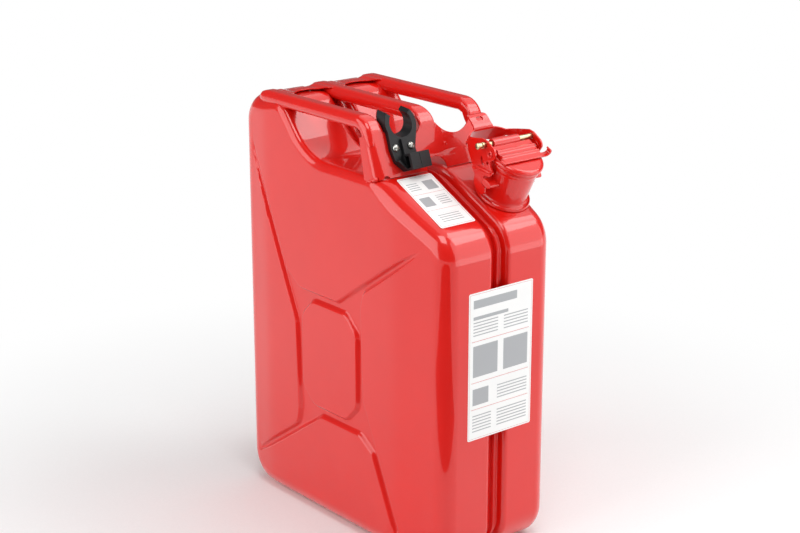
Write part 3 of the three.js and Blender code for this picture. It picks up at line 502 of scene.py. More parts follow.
def soften(obj: Obj, width: float, segments: int = 2, angle: float = 32.0) -> Obj:
    """Rounds edges that are sharper than an angle in degrees."""
    return modify(
        obj, "BEVEL", width=width * MM, segments=segments, limit_method="ANGLE",
        angle_limit=math.radians(angle), harden_normals=False, use_clamp_overlap=True,
    )


def shade(obj: Obj, angle: float = 40.0) -> Obj:
    """Shades an object smooth up to an edge angle, with flat faces kept flat.

    Args:
        obj: Object to shade.
        angle: Largest smooth edge angle, in degrees.

    Returns:
        The same object.
    """
    activate(obj)
    bpy.ops.object.shade_smooth_by_angle(angle=math.radians(angle))
    return modify(obj, "WEIGHTED_NORMAL", mode="FACE_AREA", weight=50, keep_sharp=True)


def place(obj: Obj, *frames: Matrix) -> Obj:
    """Moves an object's mesh by one frame after another.

    Args:
        obj: Object to move.
        frames: Frames, in metres.

    Returns:
        The same object.
    """
    for matrix in frames:
        obj.data.transform(matrix)
    obj.data.update()
    return obj


# Shader nodes and finishes


def bare_tree(owner: bpy.types.Material | bpy.types.World) -> Tree:
    """Gives a material or a world an empty node tree.

    Args:
        owner: The material or world.

    Returns:
        Its tree.
    """
    owner.use_nodes = True
    owner.node_tree.nodes.clear()
    return owner.node_tree


def add_node(
    tree: Tree,
    kind: str,
    settings: dict[str, object] | None = None,
    inputs: dict[str | int, object] | None = None,
    links: dict[str | int, Socket] | None = None,
) -> bpy.types.Node:
    """Adds one shader node.

    Args:
        tree: Node tree.
        kind: Node type.
        settings: Node properties.
        inputs: Values of its input sockets.
        links: Sockets linked into its inputs.

    Returns:
        The node.
    """
    node = tree.nodes.new("ShaderNode" + kind)
    for key, value in (settings or {}).items():
        setattr(node, key, value)
    for key, value in (inputs or {}).items():
        node.inputs[key].default_value = value
    for key, socket in (links or {}).items():
        tree.links.new(socket, node.inputs[key])
    return node


def noise(tree: Tree, where: Socket, size: float, detail: float) -> Socket:
    """Noise with features of a real size in millimetres."""
    inputs = {"Scale": 1 / (size * MM), "Detail": detail}
    return add_node(tree, "TexNoise", inputs=inputs, links={"Vector": where}).outputs["Fac"]


def arithmetic(tree: Tree, kind: str, *values: Socket | float) -> Socket:
    """Adds one arithmetic node.

    Args:
        tree: Node tree.
        kind: Operation.
        values: Sockets or numbers that it works on.

    Returns:
        The result.
    """
    inputs = {i: v for i, v in enumerate(values) if isinstance(v, (int, float))}
    links = {i: v for i, v in enumerate(values) if i not in inputs}
    return add_node(tree, "Math", {"operation": kind}, inputs, links).outputs[0]


def blend(tree: Tree, share: Socket, first: Socket | str, second: str) -> Socket:
    """Mixes two colours.

    Args:
        tree: Node tree.
        share: Share of the second colour.
        first: Colour as a socket or a hex code.
        second: Colour as a hex code.

    Returns:
        The mixed colour.
    """
    inputs = {7: to_linear(second)}
    links = {0: share}
    if isinstance(first, str):
        inputs[6] = to_linear(first)
    else:
        links[6] = first
    return add_node(tree, "Mix", {"data_type": "RGBA"}, inputs, links).outputs[2]


@dataclass(frozen=True)
class Finish:
    """A surface with a mottled colour, a fine grain and, on thin sheet, shallow waves.

    Mottle, grain and waves are given by the real size of their features.
    """

    slot: str
    name: str
    light: str
    dark: str
    roughness: float
    metallic: float = 0.0
    coat: float = 0.0
    coat_roughness: float = 0.05
    mottle: float = 30.0
    grain: float = 2.0
    grain_depth: float = 0.01
    grain_strength: float = 0.35
    rough_spread: float = 0.05
    rough_size: float = 1.7
    specular: float = 0.5
    wave: float = 45.0
    wave_depth: float = 0.0

    def colour(self, tree: Tree, where: Socket) -> Socket:
        """Makes the surface colour from coordinates on the object."""
        return blend(tree, noise(tree, where, self.mottle, 4.0), self.dark, self.light)

    @cache
    def material(self) -> bpy.types.Material:
        """Gives the shared material of this finish, made on first use.

        Returns:
            The material.
        """
        material = bpy.data.materials.new(self.name)
        tree = bare_tree(material)
        where = add_node(tree, "TexCoord").outputs["Object"]
        relief = {"Height": noise(tree, where, self.grain, 2.0)}
        if self.wave_depth:
            relief["Normal"] = add_node(
                tree, "Bump", inputs={"Strength": 1.0, "Distance": self.wave_depth * MM},
                links={"Height": noise(tree, where, self.wave, 1.0)},
            ).outputs[0]
        depth = {"Strength": self.grain_strength, "Distance": self.grain_depth * MM}
        bump = add_node(tree, "Bump", inputs=depth, links=relief)
        low, high = self.roughness - self.rough_spread, self.roughness + self.rough_spread
        rough = add_node(
            tree, "MapRange", inputs={"To Min": low, "To Max": high},
            links={"Value": noise(tree, where, self.rough_size * self.mottle, 3.0)},
        )
        shader = add_node(
            tree, "BsdfPrincipled",
            inputs={
                "Metallic": self.metallic, "Specular IOR Level": self.specular,
                "Coat Weight": self.coat, "Coat Roughness": self.coat_roughness,
            },
            links={
                "Base Color": self.colour(tree, where), "Roughness": rough.outputs[0],
                "Normal": bump.outputs[0],
            },
        )
        output = add_node(tree, "OutputMaterial", links={"Surface": shader.outputs[0]})
        output.is_active_output = True
        return material


@dataclass(frozen=True)
class Printed(Finish):
    """Sticker with a thin frame, ruled lines and plain blocks; it carries no lettering or signs.

    Areas are (x, y, half width, half height, pitch) on the sticker, and pitch zero is a plain
    block. Bars are (x, y, half width, half height).
    """

    width: float = 40.0
    height: float = 80.0
    frame_inset: float = 1.5
    frame_line: float = 0.35
    frame_ink: str = "#c8322f"
    ink: str = "#8f9092"
    rule_share: float = 0.34
    areas: tuple[tuple[float, float, float, float, float], ...] = ()
    bars: tuple[tuple[float, float, float, float], ...] = ()

    def colour(self, tree: Tree, where: Socket) -> Socket:
        """Makes the printed colour over the mottled vinyl.

        Args:
            tree: Node tree.
            where: Coordinates on the object.

        Returns:
            The colour.
        """
        uv = add_node(tree, "UVMap", {"uv_map": "sticker"})
        x, y, _ = add_node(tree, "SeparateXYZ", links={0: uv.outputs[0]}).outputs
        op = partial(arithmetic, tree)

        def inside(cx: float, cy: float, half_x: float, half_y: float) -> Socket:
            """Mask of a rectangle, one inside and zero outside."""
            return op("MULTIPLY", op("COMPARE", x, cx, half_x), op("COMPARE", y, cy, half_y))

        half_x, half_y = self.width / 2 - self.frame_inset, self.height / 2 - self.frame_inset
        hollow = inside(0, 0, half_x - self.frame_line, half_y - self.frame_line)
        red = op("SUBTRACT", inside(0, 0, half_x, half_y), hollow)
        for bar in self.bars:
            red = op("MAXIMUM", red, inside(*bar))
        grey: Socket | float = 0.0
        for *area, pitch in self.areas:
            mask = inside(*area)
            if pitch:
                line = op("LESS_THAN", op("FRACT", op("DIVIDE", y, pitch)), self.rule_share)
                mask = op("MULTIPLY", mask, line)
            grey = op("MAXIMUM", grey, mask)
        vinyl = Finish.colour(self, tree, where)
        return blend(tree, red, blend(tree, grey, vinyl, self.ink), self.frame_ink)


# Gloss red stoved enamel on steel sheet, with a faint orange-peel surface
RED_ENAMEL = Finish(
    "red_paint", "red_enamel", "#e11408", "#d61107", 0.34, coat=1.0, coat_roughness=0.03,
    mottle=70, grain=6, grain_depth=0.02, specular=0.25, wave=38, wave_depth=0.35,
)
# Satin injection-moulded black plastic
BLACK_NYLON = Finish(
    "black_plastic", "black_moulded_plastic", "#1a1a1c", "#131315", 0.45,
    mottle=12, grain=0.7, grain_depth=0.03, specular=0.35,
)
# Bright zinc plating on steel screws
ZINC = Finish(
    "zinc_steel", "bright_zinc_plate", "#d4d3cd", "#b9b8b2", 0.28, 1, mottle=5, grain=0.8
)
# Yellow-passivated zinc plating on the pin
YELLOW_ZINC = Finish(
    "yellow_zinc", "yellow_zinc_plate", "#ddd2ac", "#b5a87c", 0.3, 1, mottle=4, grain=0.8
)
# Matte fuel-proof rubber
BLACK_RUBBER = Finish(
    "rubber", "black_rubber", "#232323", "#181818", 0.75, mottle=8, grain=0.6, grain_depth=0.03
)
# White vinyl stickers with a satin face
FRONT_STICKER = Printed(
    "white_vinyl", "white_vinyl_front", "#f6f6f5", "#efefee", 0.38, mottle=50, grain=4,
    width=88.5, height=161, frame_line=0.3, frame_ink="#cf6a66", ink="#aaacaf",
    areas=(
        (-8, 68, 30, 4.5, 0), (-14, 53, 24, 1.8, 0), (-21, 41, 17, 8, 3.4), (21, 41, 17, 8, 3.4),
        (-21, 6, 17, 17, 0), (21, 6, 17, 17, 0), (-27, -33, 11, 9, 0), (17, -33, 21, 9, 3.4),
        (-25, -62, 13, 11, 3.4), (17, -62, 21, 11, 3.4),
    ),
    bars=((0, -17, 40, 0.25), (0, 28, 40, 0.25), (0, -46.5, 40, 0.25)),
)
SHOULDER_STICKER = Printed(
    "white_vinyl", "white_vinyl_shoulder", "#f6f6f5", "#efefee", 0.38, mottle=50, grain=4,
    width=46, height=80, frame_ink="#cf7a75", ink="#a4a6a9",
    areas=(
        (-11, 24, 7, 7, 3.2), (10.5, 24, 7, 7, 0), (-11, 0, 7, 7, 0), (10.5, 0, 7, 7, 3.2),
        (0, -26, 14, 7, 3.2),
    ),
    bars=((0, 12.5, 21, 0.2), (0, -13, 21, 0.2)),
)


# Sub-assemblies


class Assembly:
    """Pieces that ride on one body and are logged as they are made."""

    body: Body = Body.CAN

    def show(self, obj: Obj, finish: Finish, *nodes: str) -> None:
        """Dresses a finished piece and ties it to its body.

        Args:
            obj: The piece.
            finish: Its finish.
            nodes: CAD nodes that it stands for.
        """
        obj.data.materials.clear()
        obj.data.materials.append(finish.material())
        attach(obj, self.body.value)
        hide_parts(*nodes)
        LOG.info("%s on %s, %d faces", obj.name, self.body.value, len(obj.data.polygons))

    def keep(self, node: str, finish: Finish) -> None:
        """Dresses a CAD node that is shown as it is.

        Args:
            node: Name of the node.
            finish: Its finish.
        """
        obj = frame["nodes"][node]
        obj.data.materials.clear()
        obj.data.materials.append(finish.material())
        LOG.info("%s carried over on %s", node, self.body.value)


@dataclass(frozen=True)
class Station:
    """A point of the can's side outline and the way that its wall faces."""

    y: float
    z: float
    ny: float
    nz: float

    def inset(self, depth: float) -> Pair:
        """The point moved into the can, as y and z."""
        return (self.y - depth * self.ny, self.z - depth * self.nz)


@dataclass(frozen=True)
class Shoulder:
    """Side outline of the can and the flat shoulder that pieces stand on."""

    half_depth: float = 172.5
    front: float = -172.2
    hump: float = 464.0
    saddle: float = 409.0
    slope: float = math.radians(26.4)
    slope_start: float = -72.0
    slope_radius: float = 60.0
    saddle_y: float = 18.0
    saddle_radius: float = 70.0
    flank: float = math.radians(50)
    hump_radius: float = 26.0
    rear_radius: float = 34.0
    front_radius: float = 38.0
    base_radius: float = 38.0
    arc_steps: int = 12
    line_step: float = 13.0

    def frame_at(self, x: float, y: float) -> Matrix:
        """Frame that stands on the flat shoulder, in metres."""
        return shift(x, y, self.slope_z(y)) @ rotate(self.slope, "X")

    def slope_z(self, y: float) -> float:
        """Height of the flat shoulder."""
        return self.saddle + (y - self.slope_start) * math.tan(self.slope)

    def stations(self) -> list[Station]:
        """Walks round the outline, counter-clockwise seen from +x.

        Returns:
            The stations.
        """
        up, facing = QUARTER, QUARTER + self.slope
        flank_y = self.saddle_y + self.saddle_radius * math.sin(self.flank)
        flank_z = self.saddle + self.saddle_radius * (1 - math.cos(self.flank))
        rise = self.hump - self.hump_radius * (1 - math.cos(self.flank)) - flank_z
        hump_y = flank_y + rise / math.tan(self.flank) + self.hump_radius * math.sin(self.flank)
        slope_y = self.slope_start + self.slope_radius * math.tan(self.slope / 2)
        tangent = math.tan((math.pi - facing) / 2)
        front_z = self.slope_z(self.front) - self.front_radius * tangent
        r, f, b = self.rear_radius, self.front_radius, self.base_radius
        h, s, n = self.hump_radius, self.saddle_radius, self.slope_radius
        arcs = [
            (self.half_depth - b, b, b, -up, 0.0),
            (self.half_depth - r, self.hump - r, r, 0.0, up),
            (hump_y, self.hump - h, h, up, up + self.flank),
            (self.saddle_y, self.saddle + s, -s, up + self.flank, up),
            (slope_y, self.saddle - n, n, up, facing),
            (self.front + f, front_z, f, facing, math.pi),
            (self.front + b, b, b, math.pi, math.pi + up),
        ]
        corners: list[Station] = []
        for y, z, radius, first, last in arcs:
            for angle in evenly(first, last, self.arc_steps):
                ny, nz = math.cos(angle), math.sin(angle)
                corners.append(Station(y + radius * ny, z + radius * nz, ny, nz))
        walk: list[Station] = []
        for here, there in zip(corners, corners[1:] + corners[:1]):
            walk.append(here)
            dy, dz = there.y - here.y, there.z - here.z
            straight = abs(here.ny - there.ny) + abs(here.nz - there.nz) < 1e-6
            parts = int(math.hypot(dy, dz) // self.line_step) + 1 if straight else 1
            for k in range(1, parts):
                t = k / parts
                walk.append(Station(here.y + dy * t, here.z + dz * t, here.ny, here.nz))
        return walk


SHOULDER = Shoulder()
# Foot of the filler neck on the shoulder, with z along the neck
NECK_FRAME = SHOULDER.frame_at(45.0, -124.0)
# Middle of the lever's pivot in the neck's frame, as y and z
PIVOT: Pair = (19.2, 57.3)


@dataclass
class TankShell(Assembly):
    """One pressed half of the tank: rolled seam lip, rounded edge and the embossed broad side."""

    side: Side
    half_width: float = 82.5
    edge_radius: float = 20.0
    edge_steps: int = 10
    saddle_edge: float = 9.0
    saddle_low: float = 380.0
    saddle_rise: float = 40.0
    saddle_front: float = -100.0
    saddle_into: float = 50.0
    saddle_rear: float = 140.0
    saddle_out: float = 60.0
    sheet: float = 0.9
    facet_front: float = -100.0
    facet_rear: float = 125.0
    facet_slope: float = 0.13
    facet_round: float = 10.0
    press_depth: float = 4.5
    press_wall: float = 5.5
    press_y: float = 12.0
    press_z: float = 189.5
    core_length: float = 46.5
    core_height: float = 58.5
    core_corner: float = 18.0
    ring: float = 14.5
    long_slope: float = 0.68
    long_width: float = 12.0
    steep_slope: float = 2.2
    steep_width: float = 13.0
    mesh_step: float = 7.0
    mesh_inset: float = 0.985
    neck_hole: float = 24.9

    def face_x(self, y: float) -> float:
        """Place of the broad side, which falls back before and behind its middle.

        Args:
            y: Place from front to rear.

        Returns:
            Its x on the right half.
        """
        fall = 0.0
        for beyond in (y - self.facet_rear, self.facet_front - y):
            fall += (beyond + math.hypot(beyond, self.facet_round)) / 2
        return self.half_width - self.facet_slope * fall

    def edge_at(self, station: Station) -> float:
        """Radius of the long edge, which is tighter along the saddle.

        Args:
            station: Place on the side outline.

        Returns:
            The radius.
        """
        share = ease((station.z - self.saddle_low) / self.saddle_rise)
        share *= ease((station.y - self.saddle_front) / self.saddle_into)
        share *= ease((self.saddle_rear - station.y) / self.saddle_out)
        return self.edge_radius + (self.saddle_edge - self.edge_radius) * share

    def panels(self) -> list[tuple[list[Pair], list[float]]]:
        """Corners and radii of the raised panels round the pressed channels.

        Returns:
            One outline for the core and one for each outer panel, counter-clockwise.
        """
        length, height, cut, far = self.core_length, self.core_height, self.core_corner, 320.0
        out_l, out_h = length + self.ring, height + self.ring
        half = [
            (length, cut - height), (length, height - cut),
            (length - cut, height), (cut - length, height),
        ]
        core = half + [(-y, -z) for y, z in half]
        long_drop = self.long_width * math.hypot(1, self.long_slope)
        steep_shift = self.steep_width * math.hypot(1, 1 / self.steep_slope)
        start = -self.ring
        reach = self.long_slope * (far + start)
        foot_z = out_h + self.long_slope * (start + out_l) - long_drop
        steep_z = height / 2
        steep_end = out_l + (far - steep_z) / self.steep_slope
        knee_z = out_h + self.ring
        knee = out_l + (knee_z - steep_z) / self.steep_slope - steep_shift
        top = [
            (start, out_h), (out_l - cut / 2, out_h), (knee, knee_z),
            (steep_end - steep_shift, far), (far, far * 2), (-far, far * 2), (-far, out_h + reach),
        ]
        front = [
            (-out_l, foot_z), (-far, out_h + reach - long_drop), (-far * 2, far), (-far * 2, -far),
            (-steep_end, -far), (-out_l, -steep_z), (self.ring / 4 - out_l, out_h),
        ]
        shapes = [(core, [13.0] * 8), (top, [10.0] * 7), (front, [14.0] * 7)]
        shapes += [([(-y, -z) for y, z in points], radii) for points, radii in shapes[1:]]
        return [
            ([(self.press_y + y, self.press_z + z) for y, z in points], radii)
            for points, radii in shapes
        ]

    def height(self, spots: np.ndarray) -> np.ndarray:
        """Share of the full height at points of the broad side: one on panels, zero in channels.

        Args:
            spots: Points as rows of y and z.

        Returns:
            The share for each point.
        """
        best = np.zeros(len(spots))
        for points, radii in self.panels():
            line = np.array(rounded(points, radii, 8))
            away = np.full(len(spots), np.inf)
            crossings = np.zeros(len(spots), int)
            for a, b in zip(line, np.roll(line, -1, axis=0)):
                d = b - a
                t = np.clip(((spots - a) @ d) / max(d @ d, 1e-12), 0, 1)
                away = np.minimum(away, np.hypot(*(spots - a - t[:, None] * d).T))
                if a[1] != b[1]:
                    spans = (a[1] > spots[:, 1]) != (b[1] > spots[:, 1])
                    crossings += spans & (spots[:, 0] < a[0] + (spots[:, 1] - a[1]) * d[0] / d[1])
            share = np.clip(away / self.press_wall, 0, 1)
            share = 1 - share * share * (3 - 2 * share)
            best = np.maximum(best, np.where(crossings % 2 == 1, 1.0, share))
        return best

    def rings(self, walk: list[Station]) -> list[list[Triple]]:
        """Rings from the seam lip over the rounded edge to the broad side.

        Args:
            walk: Stations of the side outline.

        Returns:
            The rings of the right half.
        """
        seam = [
            (4.6, 0.15), (4.4, 0.65), (4.6, 1.1), (9.0, 1.15), (9.0, 7.0), (8.7, 7.9), (7.6, 8.5),
            (5.6, 9.1), (3.7, 9.7), (2.3, 10.5), (1.2, 11.7), (0.45, 13.2), (0.0, 15.4),
        ]
        rings = [[(x, *s.inset(depth)) for s in walk] for depth, x in seam]
        radii = [self.edge_at(s) for s in walk]
        faces_x = [self.face_x(s.inset(r)[0]) for s, r in zip(walk, radii)]
        for angle in evenly(0, QUARTER, self.edge_steps):
            depth, lift = 1 - math.cos(angle), math.sin(angle) - 1
            rings.append([
                (x + r * lift, *s.inset(r * depth)) for s, x, r in zip(walk, faces_x, radii)
            ])
        return rings

    def build(self) -> None:
        """Models the half."""
        rings = self.rings(SHOULDER.stations())
        points = [p for ring in rings for p in ring]
        count = len(rings[0])
        spots, joins = self.face_lines([(y, z) for _, y, z in rings[-1]])
        filled = delaunay_2d_cdt([Vector(p) for p in spots], joins, [list(range(count))], 1, 1e-4)
        base = len(points) - count
        number: dict[int, int] = {}
        extra: list[Pair] = []
        for i, (spot, origin) in enumerate(zip(filled[0], filled[3])):
            edge = [o for o in origin if o < count]
            number[i] = base + edge[0] if edge else len(points) + len(extra)
            if not edge:
                extra.append((spot.x, spot.y))
        floor = self.half_width - self.press_depth
        for (y, z), share in zip(extra, self.height(np.array(extra))):
            flat, channel = self.face_x(y), floor + self.press_depth * share
            points.append((min(flat, channel) if share < 0.999 else flat, y, z))
        faces = quads(len(rings), count, True)
        faces += [tuple(number[i] for i in face) for face in filled[2]]
        points = [(self.side.value * x, y, z) for x, y, z in points]
        shell = edit(from_points(f"tank_shell_{self.side.label}", points, faces))
        modify(shell, "SOLIDIFY", thickness=self.sheet * MM, offset=-1, use_even_offset=False)
        if self.side is Side.RIGHT:
            cutter = rod("neck_cut", (0, 0, -40), (0, 0, 40), self.neck_hole, 64)
            carve(shell, place(cutter, NECK_FRAME))
        shade(shell, 38)
        self.show(shell, RED_ENAMEL, f"{self.side.label}_half_shell")

    def face_lines(self, rim: list[Pair]) -> tuple[list[Pair], list[tuple[int, int]]]:
        """Lines that the broad side is meshed along: its rim, its creases and the channel walls.

        Args:
            rim: Outline of the broad side.

        Returns:
            Points, with the rim first, and pairs of them that are joined.
        """
        spots = list(rim)
        joins: list[tuple[int, int]] = []
        middle = np.mean(rim, 0)
        inner = middle + (np.array(rim) - middle) * self.mesh_inset

        def within(p: Pair) -> bool:
            """Whether a point lies inside the rim.

            Args:
                p: The point.

            Returns:
                True inside.
            """
            hit = False
            for (ay, az), (by, bz) in zip(inner, np.roll(inner, -1, axis=0)):
                if (az > p[1]) != (bz > p[1]) and p[0] < ay + (p[1] - az) * (by - ay) / (bz - az):
                    hit = not hit
            return hit

        def run(line: Sequence[Pair], closed: bool) -> None:
            """Adds a line, cut where it leaves the rim.

            Args:
                line: Its points.
                closed: Whether its end joins its start.
            """
            dense: list[Pair] = []
            for (ay, az), (by, bz) in zip(line, [*line[1:], *line[:closed]]):
                parts = max(1, int(math.hypot(by - ay, bz - az) // self.mesh_step))
                dense += zip(evenly(ay, by, parts)[:-1], evenly(az, bz, parts)[:-1])
            seen = [within(p) for p in dense]
            last = first = None
            for p, inside in zip(dense, seen):
                here = len(spots) if inside else None
                if inside:
                    spots.append(p)
                    first = here if first is None else first
                    if last is not None:
                        joins.append((last, here))
                last = here
            if closed and seen[0] and seen[-1]:
                joins.append((last, first))

        for share in (0.0, 0.1, 0.22, 0.36, 0.5, 0.64, 0.78, 0.9, 1.0):
            for corners, radii in self.panels():
                run(rounded(corners, radii, 6, share * self.press_wall), True)
        for y in (self.facet_front, self.facet_rear):
            for offset in (-14, -7, -3, 0, 3, 7, 14):
                run([(y + offset, z) for z in range(10, 460, 9)], False)
        return spots, joins


@dataclass
class Handle(Assembly):
    """Three grip bars that bend down into one leaning front plate, and a plate on the hump."""

    top: float = 470.0
    sheet: float = 1.5
    grip_width: float = 21.0
    grip_depth: float = 15.0
    spacing: float = 69.5
    grip_round: float = 7.2
    plate_round: float = 2.0
    bend: float = 26.0
    bend_steps: int = 12
    lean: float = math.radians(21)
    foot_y: float = -73.0
    foot_z: float = 408.2
    foot_gap: float = 0.3
    flange: float = 24.0
    flange_taper: float = 9.0
    fold: float = 12.5
    fold_end: Pair = (-8.8, 9.2)
    fold_radius: float = 3.3
    drain: float = 3.2
    dip: float = 13.0
    dip_reach: float = 12.1
    arch: float = 14.0
    foot_arch: float = 4.5
    foot_arch_x: float = 68.0
    flat_half: float = 66.0
    weld_x: float = 78.6
    weld_z: float = 2.0
    weld_size: float = 1.9
    weld_waver: float = 0.5
    hump_front: float = 97.0
    hump_rear: float = 137.5
    hump_half: float = 68.0
    hump_arch: float = 17.0
    hump_seat: float = 4.1
    hump_lap: float = 1.9
    lap_run: float = 9.0
    hump_fall: float = 4.6
    fall_start: float = 124.0
    hump_columns: int = 112
    hump_rows: int = 18

    def plate_frame(self) -> Matrix:
        """Frame of the front plate: z up the plate, -y outwards."""
        return shift(0, self.foot_y, self.foot_z) @ rotate(-self.lean, "X")

    def bend_centre(self) -> Pair:
        """Middle of the bend between a grip's top and the plate.

        Returns:
            Its y and z.
        """
        z = self.top - self.bend
        back = self.bend + math.sin(self.lean) * (z - self.foot_z)
        return (self.foot_y + back / math.cos(self.lean), z)

    def plate_height(self) -> float:
        """Length of the plate from its foot to the bend."""
        low = self.bend_centre()[1] + self.bend * math.sin(math.pi - self.lean)
        return (low - self.foot_z) / math.cos(self.lean)

    def window(self) -> Pair:
        """Sides of the gap between the middle bar and an outer bar."""
        return (self.grip_width / 2, self.spacing - self.grip_width / 2)

    def section(self, width: float, depth: float, radii: Sequence[float]) -> list[Pair]:
        """Rounded section of a bar.

        Args:
            width: Across the bar.
            depth: Along the way that it faces.
            radii: Corner radii: front right, front left, back left, back right.

        Returns:
            The outline.
        """
        w, d = width / 2, depth / 2
        points: list[Pair] = []
        for quarter, (sx, sz) in enumerate(((1, 1), (-1, 1), (-1, -1), (1, -1))):
            r = min(radii[quarter], 0.98 * w, 0.98 * d)
            cx, cz = sx * (w - r), sz * (d - r)
            for k in range(8):
                angle = QUARTER * (quarter + k / 7)
                points.append((cx + r * math.cos(angle), cz + r * math.sin(angle)))
        return points

    def grip(self, name: str, place_x: float) -> None:
        """Models one grip bar.

        Args:
            name: Which bar.
            place_x: Its middle.
        """
        w, d, full = self.grip_width, self.grip_depth, self.grip_round
        cy, cz = self.bend_centre()
        plate_face = math.pi - self.lean
        # Rows of y, z, facing angle, width, depth, inner corner radius and distance sunk
        rows: list[tuple[float, ...]] = [
            (y, self.top - lower, QUARTER, width, depth, full, 0.0)
            for y, width, depth, lower in (
                (139.5, 7, 4, 8.5), (138.8, 12, 6.5, 6.2), (137, 16.5, 9.5, 3.8),
                (134, 19.5, 12.5, 1.7), (129, w, 14.5, 0.4), (123, w, d, 0), (100, w, d, 0),
                (70, w, d, 0), (30, w, d, 0), (-10, w, d, 0),
            )
        ]
        for i, facing in enumerate(evenly(QUARTER, plate_face, self.bend_steps)):
            t = ease(i / self.bend_steps)
            spot = (cy + self.bend * math.cos(facing), cz + self.bend * math.sin(facing))
            rows.append((*spot, facing, w, d, full - (full - self.plate_round) * t, -0.2 * t))
        end_y, end_z = rows[-1][:2]
        for down, depth, sink in ((3, 14, -0.15), (7, 12, 0.1), (12, 9, 0.6)):
            spot = (end_y - down * math.sin(self.lean), end_z - down * math.cos(self.lean))
            rows.append((*spot, plate_face, w - 2 * max(sink, 0), depth, self.plate_round, sink))
        rings = []
        for y, z, facing, width, depth, inner, sink in rows:
            ny, nz = math.cos(facing), math.sin(facing)
            right, left = (inner if place_x <= 0 else full), (inner if place_x >= 0 else full)
            rings.append([
                (place_x + px, y + (pz - sink - depth / 2) * ny, z + (pz - sink - depth / 2) * nz)
                for px, pz in self.section(width, depth, (right, left, full, full))
            ])
        bar = loft(f"handle_bar_{name}", rings)
        low, high = (place_x, cy - 6, cz - 4), (place_x, cy + 3, cz + 15)
        notch = (cy + self.fold_end[0], cz + self.fold_end[1])
        carve(
            bar, rod("drain", low, high, self.drain, 24),
            rod("fold_end", (place_x - 16, *notch), (place_x + 16, *notch), self.fold_radius, 24),
        )
        shade(bar, 50)
        self.show(bar, RED_ENAMEL, f"handle_grip_{name}")

    def front_plate(self) -> None:
        """Models the front plate with its bent sides, dips and arches."""
        reach = self.spacing + self.grip_width / 2
        height = self.plate_height()
        levels = evenly(self.foot_gap, height, 10)
        points: list[Triple] = []
        for v in levels:
            flange = self.flange - self.flange_taper * v / height
            r = self.fold - (self.fold - self.grip_round) * v / height
            half: list[Pair] = [(-reach, flange), (-reach, (flange + r) / 2)]
            for angle in evenly(math.pi, math.pi + QUARTER, 8):
                half.append((-reach + r + r * math.cos(angle), r + r * math.sin(angle)))
            flat = [(x, 0.0) for x in evenly(-self.flat_half, self.flat_half, 11)]
            plan = half + flat + [(-x, y) for x, y in reversed(half)]
            points += [(x, y, v) for x, y in plan]
        faces = quads(len(levels), len(plan), False)
        sheet = edit(from_points("front_plate", points, faces))
        offset = -1 if sheet.data.polygons[0].normal.x < 0 else 1
        modify(sheet, "SOLIDIFY", thickness=self.sheet * MM, offset=offset)
        inner, outer = self.window()
        above = height + 20
        for sign in (-1, 1):
            outline = [*self.dip_line(sign), (sign * outer, above), (sign * inner, above)]
            arch_x, flange_x = sign * self.foot_arch_x, sign * reach
            carve(
                sheet, plate("dip", [(x, -20.0, v) for x, v in outline], (0, 50, 0)),
                rod("foot_arch", (arch_x, -20, -1), (arch_x, 14, -1), self.foot_arch, 32),
                block("flange_foot", (flange_x - 4, 3, -5), (flange_x + 4, 40, 3)),
            )
        carve(sheet, rod("centre_arch", (0, -20, 0), (0, 30, 0), self.arch, 48))
        soften(sheet, 0.55, angle=40)
        welds = [self.weld(sign) for sign in (-1, 1)]
        sheet = fuse("handle_front_sheet", sheet, self.dimple(), *welds)
        shade(place(sheet, self.plate_frame()))
        self.show(sheet, RED_ENAMEL, "handle_front_plate")

    def dip_line(self, sign: int) -> list[Pair]:
        """Upper edge of the plate between two bars.

        Args:
            sign: Side of the plate.

        Returns:
            Points of x and height, from the middle bar outwards.
        """
        (inner, outer), height, reach = self.window(), self.plate_height(), self.dip_reach
        low = height - 1.4 * self.dip
        curve = bezier((inner, height), (inner + reach, low), (outer - reach, low), (outer, height))
        return [(sign * x, v) for x, v in curve]

    def weld(self, sign: int) -> Obj:
        """Uneven weld bead at the foot of a bent side.

        Args:
            sign: Side of the plate.

        Returns:
            The bead, in the plate's frame.
        """
        rings = []
        for k, y in enumerate(evenly(3.0, 23.0, 14)):
            middle = self.weld_size + self.weld_waver * math.sin(2.3 * k)
            r = middle if 0 < k < 14 else 0.4
            rings.append([
                (sign * (self.weld_x + 1.1 * r * math.cos(a)), y, self.weld_z + r * math.sin(a))
                for a in evenly(0, 2 * math.pi, 12)[:-1]
            ])
        return loft("weld", rings)

    def dimple(self) -> Obj:
        """Small round weld mark, in the plate's frame."""
        profile = [(0.0, 0.55), (0.9, 0.5), (1.6, 0.25), (2.0, -0.2), (0.0, -0.2)]
        return place(spun("dimple", profile, 24), rotate(QUARTER, "X"), shift(18, 0, 25))

